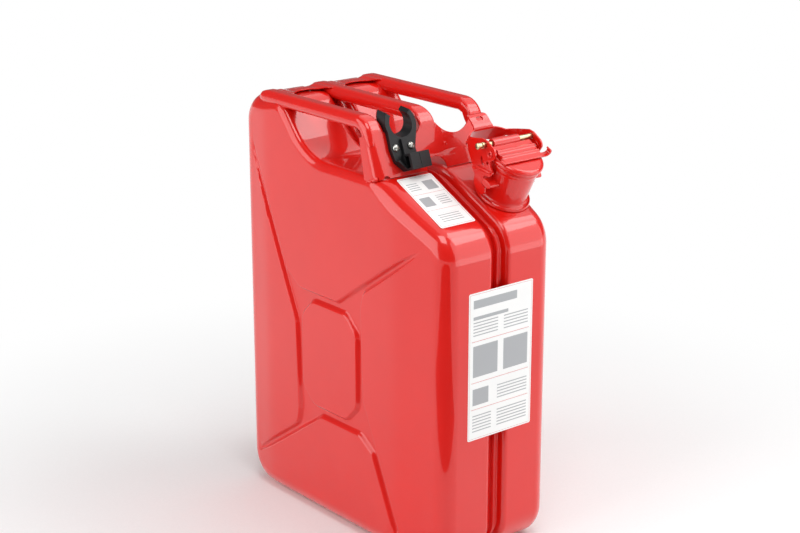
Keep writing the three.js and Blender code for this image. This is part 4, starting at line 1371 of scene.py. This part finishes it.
    def rear_plate(self) -> None:
        """Models the plate that lies over the hump, arched between the bars."""
        inner, outer = self.window()
        columns = evenly(-self.hump_half, self.hump_half, self.hump_columns)
        rows, fall_run = self.hump_rows, self.hump_rear - self.fall_start
        points: list[Triple] = []
        for k in range(rows + 1):
            for x in columns:
                t = (abs(x) - inner) / (outer - inner)
                arch = self.hump_arch * (1 - (2 * t - 1) ** 2) ** 0.75 if 0 < t < 1 else 0.0
                beside = min(abs(x) - inner, outer - abs(x))
                front = self.hump_front + arch
                y = front + (self.hump_rear - front) * k / rows
                rise = self.hump_lap * (1 - ease(beside / self.lap_run))
                fall = self.hump_fall * ease((y - self.fall_start) / fall_run)
                points.append((x, y, self.top - self.hump_seat + rise - fall))
        faces = quads(rows + 1, len(columns), False)
        sheet = edit(from_points("handle_rear_sheet", points, faces))
        offset = 1 if sheet.data.polygons[0].normal.z > 0 else -1
        modify(sheet, "SOLIDIFY", thickness=self.sheet * MM, offset=offset)
        shade(soften(sheet, 0.5, angle=50))
        self.show(sheet, RED_ENAMEL, "handle_rear_plate")

    def build(self) -> None:
        """Models the whole handle."""
        self.front_plate()
        for name, x in (("left", -self.spacing), ("centre", 0.0), ("right", self.spacing)):
            self.grip(name, x)
        self.rear_plate()


@dataclass
class FillerNeck(Assembly):
    """Neck welded to the shoulder, with side lugs, hinge bracket and inner pipe."""

    base: float = 24.6
    top: float = 25.8
    flange: float = 30.0
    lug_rear: float = 2.6
    lug_tip: float = -12.0
    lug_point: float = 5.2
    lug_z: float = 24.8
    lug_height: float = 7.5
    lug_root: float = 22.0
    lug_reach: float = 36.6

    def build(self) -> None:
        """Models the neck and what is welded to it."""
        b, t, f = self.base, self.top, self.flange
        profile = [
            (b, -5), (b, 0.3), (f - 0.8, 0.3), (f, 0.8), (f, 1.6), (f - 0.7, 3.4), (27.6, 2.9),
            (26.3, 3.7), (25.4, 5.2), (25.0, 7.5), (25.2, 14), (t - 0.1, 37.5), (t + 0.4, 39.6),
            (t + 0.85, 41.0), (t + 0.9, 43.0), (t + 0.4, 44.4), (t - 0.7, 45.0), (t - 1.5, 44.4),
            (t - 1.7, 42), (23.0, -5), (b, -5),
        ]
        neck = shade(place(spun("neck_tube", profile, 96), NECK_FRAME), 45)
        self.show(neck, RED_ENAMEL, "filler_neck")
        for side in Side:
            self.lug(side)
        self.keep("hinge_bracket", RED_ENAMEL)
        self.keep("hinge_pin", ZINC)
        self.keep("breather_pipe", ZINC)

    def lug(self, side: Side) -> None:
        """Models one hook lug.

        Args:
            side: Side of the neck.
        """
        low, high = self.lug_z - self.lug_height / 2, self.lug_z + self.lug_height / 2
        point = self.lug_tip + self.lug_point
        corners = [
            (self.lug_rear, low), (self.lug_rear, high), (point, high),
            (self.lug_tip, self.lug_z), (point, low),
        ]
        root, reach = side.value * self.lug_root, side.value * self.lug_reach
        lug = cheek_plate(f"neck_hook_lug_{side.label}", rounded(corners, 2.2, 5), root, reach)
        shade(place(soften(lug, 0.5), NECK_FRAME), 35)
        self.show(lug, RED_ENAMEL, f"neck_lug_{side.label}")


@dataclass
class Lid(Assembly):
    """Domed cap with its gasket, ribbed bridge, barrel for the pin and hinge leaf."""

    radius: float = 28.8
    top: float = 51.8
    foot: float = 45.2
    sheet: float = 1.6
    gap: float = 0.3
    lip: float = 0.7
    half: float = 26.0
    front: float = -11.0
    rear: float = 14.8
    web_inset: float = 4.0
    ribs: Pair = (-1.6, 6.6)
    rib_half: float = 2.6
    rib_rise: float = 1.5
    barrel: float = 5.0
    barrel_ends: Pair = (-24.0, 12.0)
    bore: float = 3.1
    body = Body.LID

    def build(self) -> None:
        """Models the lid."""
        r, t, f = self.radius, self.top, self.foot
        profile = [
            (0.0, t), (r - 5, t), (r - 3, t - 0.25), (r - 1.4, t - 0.9), (r - 0.4, t - 1.9),
            (r, t - 3.2), (r - 0.1, t - 4.4), (r - 0.5, f + 0.7), (r - 0.8, f + 0.1), (r - 1.3, f),
            (r - 1.7, f + 0.6), (r - 1.6, t - 4), (r - 3.4, t - 1.6), (0.0, t - 1.6),
        ]
        cap = shade(place(spun("lid_dome", profile, 96), NECK_FRAME), 45)
        self.show(cap, RED_ENAMEL, "lid_cap")
        self.bridge()
        self.keep("lid_gasket", BLACK_RUBBER)
        self.keep("lid_hinge_leaf", RED_ENAMEL)

    def bridge(self) -> None:
        """Models the ribbed bridge on the cap."""
        foot = self.top + self.gap
        y0, y1 = self.front, self.rear
        deck_foot = foot + self.lip
        rise = (PIVOT[1] - deck_foot - self.sheet) / (y1 - y0)
        upper: list[Pair] = []
        lower: list[Pair] = []
        for y in evenly(y0, y1, 40):
            away = min(abs(y - middle) for middle in self.ribs) / self.rib_half
            ripple = self.rib_rise * (1 - ease(away))
            z = deck_foot + (y - y0) * rise
            upper.append((y, z + self.sheet + ripple))
            lower.append((y, z + 0.8 * ripple))
        deck = cheek_plate("deck", lower + upper[::-1], -self.half, self.half)
        parts = [soften(deck, 0.4, angle=45)]
        web_y, web_z = y0 + self.web_inset, deck_foot + self.web_inset * rise + 1
        rear_z = deck_foot + (y1 - y0) * rise + 1
        outline = [(web_y, foot), (y1, foot), (y1, rear_z), (web_y, web_z)]
        for side in (-1, 1):
            web = cheek_plate("web", outline, side * (self.half - self.sheet), side * self.half)
            parts += [soften(web, 0.3), self.ear(side, deck_foot, 8 if side > 0 else 2)]
        left, right = self.barrel_ends
        barrel = rod("barrel", (left, *PIVOT), (right, *PIVOT), self.barrel, 48)
        carve(barrel, rod("bore", (-40, *PIVOT), (40, *PIVOT), self.bore, 40))
        bridge = fuse("lid_bridge_deck", *parts, soften(barrel, 0.45))
        shade(place(bridge, NECK_FRAME))
        self.show(bridge, RED_ENAMEL, "lid_bridge")

    def ear(self, side: int, foot: float, count: int) -> Obj:
        """Ear at one end of the bridge's front edge, curled where its route is long.

        Args:
            side: Sign of its x.
            foot: Height of the bridge's foot.
            count: Steps of the route.

        Returns:
            The ear, in the neck's frame.
        """
        # Steps of x, height and turn in degrees
        route = [
            (24.0, 0.8, 0.0), (29.0, 0.8, 0.0), (31.8, 1.1, 18.0), (33.8, 2.4, 48.0),
            (34.7, 4.2, 75.0), (34.6, 6.0, 100.0), (33.6, 7.4, 140.0), (32.2, 7.9, 170.0),
        ]
        rings = []
        for x, z, turn in route[:count]:
            across_x, across_z = -math.sin(math.radians(turn)), math.cos(math.radians(turn))
            rings.append([
                (side * (x + across_x * h), self.front + w, foot + z + across_z * h)
                for w, h in ((0, -0.9), (6, -0.9), (6, 0.9), (0, 0.9))
            ])
        return soften(loft("ear", rings), 0.3, angle=50)


@dataclass
class Lever(Assembly):
    """Locking lever: one sheet bent round the hinge, hooked cheeks, a thumb tab and rivets."""

    inner: float = 31.5
    sheet: float = 1.8
    turn: float = 26.0
    back: float = 58.4
    bend_power: float = 0.84
    rim_run: float = 6.0
    rim_rise: float = 4.0
    rim_slope: float = 0.68
    rim_drop: float = 12.1
    wall: float = 5.7
    foot_run: float = 5.8
    foot_drop: float = 29.0
    foot_slope: float = 0.6
    apron: float = 11.0
    apron_start: float = 0.58
    apron_run: float = 0.34
    joggle: float = 2.2
    joggle_slope: float = 0.35
    joggle_y: float = 8.0
    joggle_z: float = 34.4
    joggle_run: float = 3.2
    rivet: Pair = (8.1, 53.5)
    small_hole: Pair = (7.2, 42.8)
    thumb_half: float = 12.5
    slot_half: float = 4.8
    slot_ends: Pair = (11.0, 6.6)
    body = Body.LEVER

    def rim(self, y: float) -> float:
        """Height of the sheet's upper edge behind the cheeks."""
        fall = self.rim_slope * (y - PIVOT[0] - self.rim_run)
        return PIVOT[1] + max(self.rim_rise - fall, -self.rim_drop)

    def foot(self, y: float) -> float:
        """Lower edge of the sheet behind the cheeks.

        Args:
            y: Place behind the neck's axis.

        Returns:
            Its height.
        """
        rise = self.foot_slope * (y - PIVOT[0] - self.foot_run) - self.foot_drop
        rearward = (y - self.turn) / (self.back - self.turn)
        drop = self.apron * ease((rearward - self.apron_start) / self.apron_run)
        return PIVOT[1] + min(rise, -self.rim_drop - self.wall) - drop

    def bend_path(self) -> list[Pair]:
        """Middle of the sheet from one cheek to just past the middle of the back.

        Returns:
            Points of x and y.
        """
        middle, length, power = self.inner + self.sheet / 2, self.back - self.turn, self.bend_power
        path = [
            (middle * math.cos(angle) ** power, self.turn + length * math.sin(angle) ** power)
            for angle in evenly(0, QUARTER, 24)
        ]
        return path + [(-3.0, self.back)]

    def cheek(self) -> list[Pair]:
        """Outline of a cheek in the neck's frame, open at the back.

        Returns:
            The rounded outline in y and z, from the upper to the lower rear corner.
        """
        y, z = PIVOT
        corners = [
            (self.turn, self.rim(self.turn)), (y + self.rim_run, z + self.rim_rise), (18.2, 63.0),
            (4.7, 61.5), (0.5, 57.8), (1.5, 50.0), (4.5, 47.5), (2.4, 42.5), (-4.6, 38.6),
            (-4.6, 33.6), (3.4, 30.2), (3.4, 20.5), (-0.6, 19.2), (-3.1, 19.7), (-5.6, 14.0),
            (-3.1, 9.6), (7.7, 10.1), (13.4, 15.1), (15.9, 22.1), (25.0, 28.3),
            (self.turn, self.foot(self.turn)),
        ]
        radii = [0.01, 5, 5, 5, 4, 3.5, 3, 2, 3, 3.5, 3, 2.4, 1.8, 1.4, 1.2, 3.5, 3, 4, 4, 4, 0.01]
        return rounded(corners[::-1], radii[::-1], 5)[::-1]

    def half(self, side: int) -> Obj:
        """One cheek with its half of the bent back.

        Args:
            side: Sign of its x.

        Returns:
            The half, in the neck's frame.
        """
        route = Route(self.bend_path())
        outline = self.cheek()[5:-5]
        points = [(self.inner, y, z) for y, z in outline]
        first, last = 0, len(outline) - 1
        faces: list[Face] = [tuple(range(len(outline)))]
        for way, (_, y) in zip(route.ways[1:], route.points[1:]):
            flat_y = self.turn + way
            points += [(self.inner, flat_y, self.rim(y)), (self.inner, flat_y, self.foot(y))]
            faces.append((first, last, len(points) - 1, len(points) - 2))
            first, last = len(points) - 2, len(points) - 1
        flat = extrude(from_points("lever_half", points, faces), (self.sheet, 0, 0))
        slot = [(11.0, 36.6), (14.0, 36.9), (19.0, 42.6), (16.4, 44.6), (13.2, 41.4), (10.2, 39.6)]
        holes = ((PIVOT, 3.1, 32), (self.rivet, 2.9, 32), (self.small_hole, 1.8, 24))
        for spot, radius, sides in holes:
            carve(flat, rod("hole", (20, *spot), (50, *spot), radius, sides))
        carve(flat, cheek_plate("slot", rounded(slot, 1.1, 5), 20, 50))
        slope, y0 = self.joggle_slope, self.joggle_y
        size = math.hypot(slope, 1)
        levels = (31.2, 31.8, 32.4, 33.0, 33.6, self.joggle_z)
        slit(flat, (0, slope, 1), [(level + slope * y0) / size for level in levels])
        middle = self.inner + self.sheet / 2

        def bend(x: float, y: float, z: float) -> Triple:
            """Steps the hook outwards and bends the sheet round the back.

            Args:
                x: Across the sheet.
                y: Along the flat sheet.
                z: Height.

            Returns:
                The bent place.
            """
            if y <= self.turn:
                level = z + slope * (y - y0)
                step = self.joggle * ease((self.joggle_z - level) / self.joggle_run)
                return (side * (x + step), y, z)
            here, along = route.follow(y - self.turn, 1)
            out = x - middle
            return (side * (here.x + out * along.y), here.y - out * along.x, z)

        reshape(flat, bend)
        out = side * (self.inner + self.sheet + 0.3)
        bead = soften(rod("bead", (out, 17.6, 30.4), (out, -2.4, 36.9), 2.1, 24), 1.2, 3)
        return fuse("lever_half", soften(flat, 0.4, angle=50), bead)

    def thumb(self) -> Obj:
        """Thumb tab with its slot.

        Returns:
            The tab.
        """
        route = Route([
            (56.9, 42.6), (57.6, 44.6), (59.2, 45.9), (62.0, 46.9), (66.0, 48.4), (69.0, 49.5),
            (71.5, 50.0), (73.6, 49.6), (75.2, 48.3),
        ])
        far, w = route.ways[-1], self.thumb_half
        corners = [(-w - 1.5, 0), (w + 1.5, 0), (w, 6), (w, far), (-w, far), (-w, 6)]
        outline = rounded(corners, [0.1, 0.1, 8, 8.5, 6.5, 8], 6)
        tab = plate("thumb", [(x, y, 0.0) for x, y in outline], (0, 0, self.sheet))
        (low, high), s = (far - end for end in self.slot_ends), self.slot_half
        hole = rounded([(-s, low), (s, low), (s, high), (-s, high)], 2.1, 5)
        carve(tab, plate("tab_slot", [(x, y, -20.0) for x, y in hole], (0, 0, 40)))
        slit(tab, (0, 1, 0), evenly(0, far, 16)[1:-1])

        def bend(x: float, y: float, z: float) -> Triple:
            """Bends the flat tab along its route."""
            here, along = route.follow(y, 2)
            return (x, here.x - z * along.y, here.y + z * along.x)

        return soften(reshape(tab, bend), 0.4, angle=50)

    def build(self) -> None:
        """Models the lever and its rivets."""
        lever = fuse("lever_yoke", self.half(-1), self.half(1), self.thumb())
        shade(place(lever, NECK_FRAME))
        self.show(lever, RED_ENAMEL, "locking_lever")
        for side in Side:
            self.eyelet(side)

    def eyelet(self, side: Side) -> None:
        """Hollow rivet in a cheek.

        Args:
            side: Side of the lever.
        """
        profile = [
            (1.4, -2.1), (3.6, -2.1), (4.1, -1.7), (4.1, -1.2), (2.7, -1.2), (2.7, 1.2), (4.1, 1.2),
            (4.1, 1.5), (3.7, 1.9), (3.0, 2.1), (2.2, 2.0), (1.7, 1.5), (1.4, 0.6), (1.4, -2.1),
        ]
        eyelet = spun(f"lever_eyelet_{side.label}", profile, 32)
        spot = shift(side.value * (self.inner + self.sheet / 2), *self.rivet)
        shade(place(eyelet, rotate(side.value * QUARTER, "Y"), spot, NECK_FRAME))
        self.show(eyelet, RED_ENAMEL, f"lever_rivet_{side.label}")


@dataclass
class SafetyPin(Assembly):
    """Plated pin with a turned head, through the lever and the barrel."""

    radius: float = 2.8
    end: float = 34.5
    head: float = 3.3
    head_length: float = 9.5
    body = Body.PIN

    def build(self) -> None:
        """Models the pin."""
        e, r, h = self.end, self.radius, self.head
        tip = -e - self.head_length
        profile = [
            (0.0, tip), (h - 0.6, tip), (h, tip + 0.5), (h, tip + 4.8), (h - 0.2, tip + 5.0),
            (h - 1.3, tip + 5.1), (h - 1.3, tip + 6.3), (h - 0.2, tip + 6.4), (h, tip + 6.6),
            (h, -e - 0.4), (h - 0.3, -e), (r, -e), (r, e - 0.6), (r - 0.6, e), (0.0, e),
        ]
        pin = spun("lock_pin", profile, 40)
        shade(place(pin, rotate(QUARTER, "Y"), shift(0, *PIVOT), NECK_FRAME))
        self.show(pin, YELLOW_ZINC, "safety_pin")


@dataclass
class SpoutClip(Assembly):
    """Moulded clip on the front plate: open jaw, foot, rib and pocket, held by two screws."""

    handle: Handle
    x: float = -42.0
    jaw_x: float = 3.6
    jaw_z: float = 53.5
    jaw_outer: float = 20.3
    jaw_inner: float = 14.5
    jaw_ends: Pair = (math.radians(140), math.radians(400))
    shoulder: float = math.radians(19)
    reach: float = 8.0
    rise: float = 0.5
    depth: float = 4.5
    gap: float = 0.3
    foot: float = 4.0
    foot_cut: float = 0.65
    pocket: tuple[float, float, float, float] = (-4.0, 21.5, 17.0, 13.0)
    pocket_wall: float = 3.5
    pocket_roof: float = 2.3
    pocket_end: float = 5.2
    joint: Triple = (8.0, 8.4, 0.35)
    rib: Pair = (-3.0, 0.0)
    rib_depth: float = 3.2
    ledge: float = 1.6
    ledge_depth: float = 5.5
    spread: float = 9.9
    waist: float = 13.9
    screw_z: float = 29.2
    screw_hole: float = 2.3

    def clip_frame(self) -> Matrix:
        """Frame of the clip on the plate, in metres."""
        return self.handle.plate_frame() @ shift(self.x, 0, 0)

    def arc(self, radius: float, first: float, last: float, steps: int) -> list[Pair]:
        """Points on a circle round the jaw's middle.

        Args:
            radius: Its radius.
            first: Angle of the first point.
            last: Angle of the last point.
            steps: Segments.

        Returns:
            The points in x and z.
        """
        x, z = self.jaw_x, self.jaw_z
        turns = evenly(first, last, steps)
        return [(x + radius * math.cos(a), z + radius * math.sin(a)) for a in turns]

    def face(self) -> list[Pair]:
        """Outline of the whole front: jaw above, narrowing foot below.

        Returns:
            The outline in x and z.
        """
        left, right, high, _ = self.pocket
        first, last = self.jaw_ends
        low_left, low_right = math.pi + self.shoulder, 2 * math.pi - self.shoulder
        start, end = self.arc(self.jaw_outer, low_left, low_right, 1)
        foot = rounded([
            start, (self.jaw_x - self.jaw_outer * 0.98, self.screw_z - 1),
            (-self.waist, self.foot + high * self.foot_cut), (left + 0.5, self.foot),
            (right - 5, self.foot), (self.waist + 1.6, self.screw_z - 2), end,
        ], [0.01, 5, 2, 1.5, 1, 5, 0.01], 5)[6:-6]
        return [
            *self.arc(self.jaw_outer, first, low_left, 12), *foot,
            *self.arc(self.jaw_outer, low_right, last, 12),
            *self.arc(self.jaw_inner, last, first, 48),
        ]

    def horns(self, back: float, front: float) -> Obj:
        """Jaw that reaches back over the plate's edge.

        Args:
            back: Place of the clip's back.
            front: Place of its front.

        Returns:
            The jaw, in the clip's frame.
        """
        first, last = self.jaw_ends
        jaw = self.arc(self.jaw_outer, first, last, 48) + self.arc(self.jaw_inner, last, first, 48)
        horns = loft("horns", [
            [(x, y, z + self.rise * (y - front)) for x, z in jaw] for y in (front + 1.0, self.reach)
        ])
        edge = [(x - self.x, z + 1.0) for x, z in self.handle.dip_line(-1)]
        room = [*edge, (-60.0, edge[-1][1]), (-60.0, 0.0), (60.0, 0.0), (60.0, edge[0][1])]
        carve(horns, plate("plate_room", [(x, back, z) for x, z in room], (0, 60, 0)))
        return soften(clean(horns, 0.05), 0.5, 3, 40)

    def build(self) -> None:
        """Models the clip and its screws."""
        back = -self.gap
        front = back - self.depth
        left, right, high, deep = self.pocket
        low, top = self.foot, self.foot + high
        root, tip = front + 1, front - deep
        horns = self.horns(back, front)
        body = plate("body", [(x, back, z) for x, z in self.face()], (0, front - back, 0))
        z = self.screw_z
        for x in (-self.spread, self.spread):
            carve(body, rod("seat", (x, -40, z), (x, 5, z), self.screw_hole, 32))
        soften(body, 0.6, 3, 40)
        rib_top = self.jaw_z - self.jaw_inner - 1.5
        x0, x1 = self.rib
        rib = block("rib", (x0, front - self.rib_depth, top - 1), (x1, root, rib_top))
        edge = [(-self.waist, low + high * self.foot_cut), (left + 0.5, low)]
        edge += [(x + self.ledge, z + self.ledge) for x, z in reversed(edge)]
        ledge = plate("ledge", [(x, root, z) for x, z in edge], (0, -self.ledge_depth, 0))
        soften(rib, 0.5)
        soften(ledge, 0.4)
        pocket = block("pocket", (left, tip, low), (right, root, top))
        wall, roof = self.pocket_wall, self.pocket_roof
        slot_low = (left - 3, tip + wall, low + roof)
        slot = block("pocket_slot", slot_low, (right - self.pocket_end, front - wall, top - roof))
        x0, x1, cut = self.joint
        carve(pocket, slot, block("pocket_joint", (x0, tip - 1, 0), (x1, tip + cut, 40)))
        clean(soften(pocket, 0.55, 3, 40), 0.01)
        clip = fuse("spout_clip_moulding", body, horns, rib, ledge, pocket)
        shade(place(clip, self.clip_frame()))
        self.show(clip, BLACK_NYLON, "spout_clip")
        for side in Side:
            self.screw(side, front - self.gap)
            self.keep(f"clip_nut_{side.label}", ZINC)

    def screw(self, side: Side, seat: float) -> None:
        """Models one cross-head screw.

        Args:
            side: Which screw.
            seat: Where its head sits.
        """
        profile = [
            (0.0, 3.2), (1.6, 2.15), (2.8, 1.8), (3.6, 1.1), (4.0, 0.3), (4.0, 0.0), (2.0, 0.0),
            (2.0, -14.4), (1.5, -14.9), (0.0, -14.9),
        ]
        screw = spun(f"cross_screw_{side.label}", profile, 40)
        for x, y in ((2.2, 0.45), (0.45, 3.2)):
            carve(screw, block("recess", (-x, -y, 0.9), (x, y, 4)))
        spot = shift(side.value * self.spread, seat, self.screw_z)
        turn = rotate(math.radians(20 * side.value), "Z")
        place(clean(screw, 0.02), turn, rotate(QUARTER, "X"), spot, self.clip_frame())
        shade(screw, 35)
        self.show(screw, ZINC, f"clip_screw_{side.label}")


@dataclass
class Sticker(Assembly):
    """Thin printed sticker."""

    name: str
    node: str
    finish: Printed
    frame: Matrix
    corner: float = 2.0
    thickness: float = 0.26

    def build(self) -> None:
        """Models the sticker with print coordinates in millimetres."""
        w, h = self.finish.width / 2, self.finish.height / 2
        outline = rounded([(-w, -h), (w, -h), (w, h), (-w, h)], self.corner, 6)
        sheet = plate(self.name, [(x, y, 0.0) for x, y in outline], (0, 0, self.thickness))
        layer = sheet.data.uv_layers.new(name="sticker")
        for loop in sheet.data.loops:
            co = sheet.data.vertices[loop.vertex_index].co
            layer.data[loop.index].uv = (co.x / MM, co.y / MM)
        place(sheet, self.frame)
        self.show(sheet, self.finish, self.node)


@dataclass
class Studio:
    """Pale floor, soft lamps and the camera of the photograph; places are in metres."""

    azimuth: float = math.radians(-39.48)
    elevation: float = math.radians(17.44)
    camera_place: Triple = (-1.1966, -1.4632, 0.8771)
    lens: float = 81.24
    sensor: float = 36.0
    ambient: float = 0.15
    floor_size: float = 40.0
    floor_gap: float = 0.0005
    paper_near: float = 0.3
    paper_far: float = 0.8

    def lamp(self, name: str, spot: Triple, aim: Triple, size: Pair, power: float) -> None:
        """Adds one soft lamp.

        Args:
            name: Lamp name.
            spot: Its place.
            aim: What it points at.
            size: Width and height of its face.
            power: Watts.
        """
        data = bpy.data.lights.new(name, "AREA")
        data.shape = "RECTANGLE"
        data.size, data.size_y = size
        data.energy = power
        lamp = self.stand(name, data, spot, Vector(aim) - Vector(spot))
        lamp.visible_camera = False

    def stand(self, name: str, data: bpy.types.ID, spot: Triple, way: Vector) -> Obj:
        """Sets up a lamp or camera.

        Args:
            name: Its name.
            data: Its data.
            spot: Its place.
            way: The way that it looks.

        Returns:
            The object.
        """
        obj = bpy.data.objects.new(name, data)
        obj.location = spot
        obj.rotation_mode = "QUATERNION"
        obj.rotation_quaternion = way.to_track_quat("-Z", "Y")
        bpy.context.scene.collection.objects.link(obj)
        return obj

    def world(self) -> None:
        """Dim, even surroundings."""
        world = bpy.data.worlds.new("studio")
        tree = bare_tree(world)
        light = add_node(tree, "Background", inputs={"Color": WHITE, "Strength": self.ambient})
        add_node(tree, "OutputWorld", links={"Surface": light.outputs[0]})
        bpy.context.scene.world = world

    def paper(self) -> bpy.types.Material:
        """Matte white paper, seen as plain white away from the can.

        Returns:
            The material.
        """
        material = bpy.data.materials.new("white_paper")
        tree = bare_tree(material)
        where = add_node(tree, "TexCoord").outputs["Object"]
        tone = blend(tree, noise(tree, where, 3, 2.0), "#f4f4f4", "#fafafa")
        matte = add_node(tree, "BsdfDiffuse", links={"Color": tone})
        glow = add_node(tree, "Emission", inputs={"Color": WHITE, "Strength": 1.0})
        away = add_node(tree, "VectorMath", {"operation": "LENGTH"}, links={0: where})
        ring = add_node(
            tree, "MapRange", {"interpolation_type": "SMOOTHSTEP"},
            {1: self.paper_near, 2: self.paper_far}, {0: away.outputs["Value"]},
        )
        path = add_node(tree, "LightPath").outputs
        # Only what the camera sees glows, straight or in a reflection, so the floor lights nothing
        seen = arithmetic(tree, "MAXIMUM", path["Is Camera Ray"], path["Is Glossy Ray"])
        seen = arithmetic(tree, "MAXIMUM", seen, path["Is Transmission Ray"])
        share = arithmetic(tree, "MULTIPLY", seen, ring.outputs[0])
        mix = add_node(
            tree, "MixShader", links={0: share, 1: matte.outputs[0], 2: glow.outputs[0]}
        )
        add_node(tree, "OutputMaterial", links={"Surface": mix.outputs[0]})
        return material

    def floor(self) -> None:
        """Pale floor, and a dark card before the can that only reflections show."""
        bpy.ops.object.select_all(action="DESELECT")
        bpy.ops.mesh.primitive_plane_add(size=self.floor_size, location=(0, 0, 0))
        floor = bpy.context.active_object
        floor.name = "studio_floor"
        floor.data.transform(Matrix.Translation((0, 0, -self.floor_gap)))
        floor.data.materials.append(self.paper())
        # Matte black card
        black = Finish(
            "", "black_card", "#0c0c0c", "#060606", 0.9, mottle=100, grain=3, specular=0.1
        )
        card = block("front_card", (-500, -2600, 4), (400, -420, 6))
        place(card, rotate(self.azimuth, "Z"))
        card.data.materials.append(black.material())
        card.visible_camera = False
        card.visible_shadow = False
        card.visible_diffuse = False

    def camera(self) -> None:
        """Camera at the photograph's angle."""
        data = bpy.data.cameras.new("photo_camera")
        data.lens = self.lens
        data.sensor_width = self.sensor
        data.clip_end = 50
        a, e = self.azimuth, self.elevation
        way = Vector((-math.sin(a) * math.cos(e), math.cos(a) * math.cos(e), -math.sin(e)))
        bpy.context.scene.camera = self.stand("photo_camera", data, self.camera_place, way)

    def build(self) -> None:
        """Sets up the studio."""
        bpy.context.scene.view_settings.view_transform = "Standard"
        self.world()
        self.floor()
        self.camera()
        self.lamp("left_softbox", (-1.9, 0.4, 1.1), (0, 0, 0.25), (2.0, 2.0), 33)
        self.lamp("key_panel", (0.62, -0.95, 0.86), (0.0, -0.1, 0.86), (1.1, 1.6), 9.5)
        self.lamp("window_box", (0.94, -0.58, 1.55), (0.0, 0.1, 0.45), (0.8, 0.85), 7)
        self.lamp("top_softbox", (0.7, 0.2, 2.1), (0, 0, 0.35), (2.0, 2.0), 12)
        self.lamp("front_lamp", (-0.5, -0.9, 2.3), (0, 0, 0.3), (1.0, 1.0), 16)


def main() -> None:
    """Builds the can, its studio and its camera."""
    logging.basicConfig(level=logging.INFO, format="%(message)s")
    handle = Handle()
    front = shift(1.5, SHOULDER.front, 223.0) @ rotate(QUARTER, "X")
    shoulder = SHOULDER.frame_at(-37.0, -113.0) @ shift(0, 0, 0.2)
    for side in Side:
        TankShell(side).build()
    handle.build()
    FillerNeck().build()
    Lid().build()
    Lever().build()
    SafetyPin().build()
    SpoutClip(handle).build()
    Sticker("front_sticker", "front_label", FRONT_STICKER, front).build()
    Sticker("shoulder_sticker", "shoulder_label", SHOULDER_STICKER, shoulder).build()
    Studio().build()


if __name__ == "__main__":
    main()
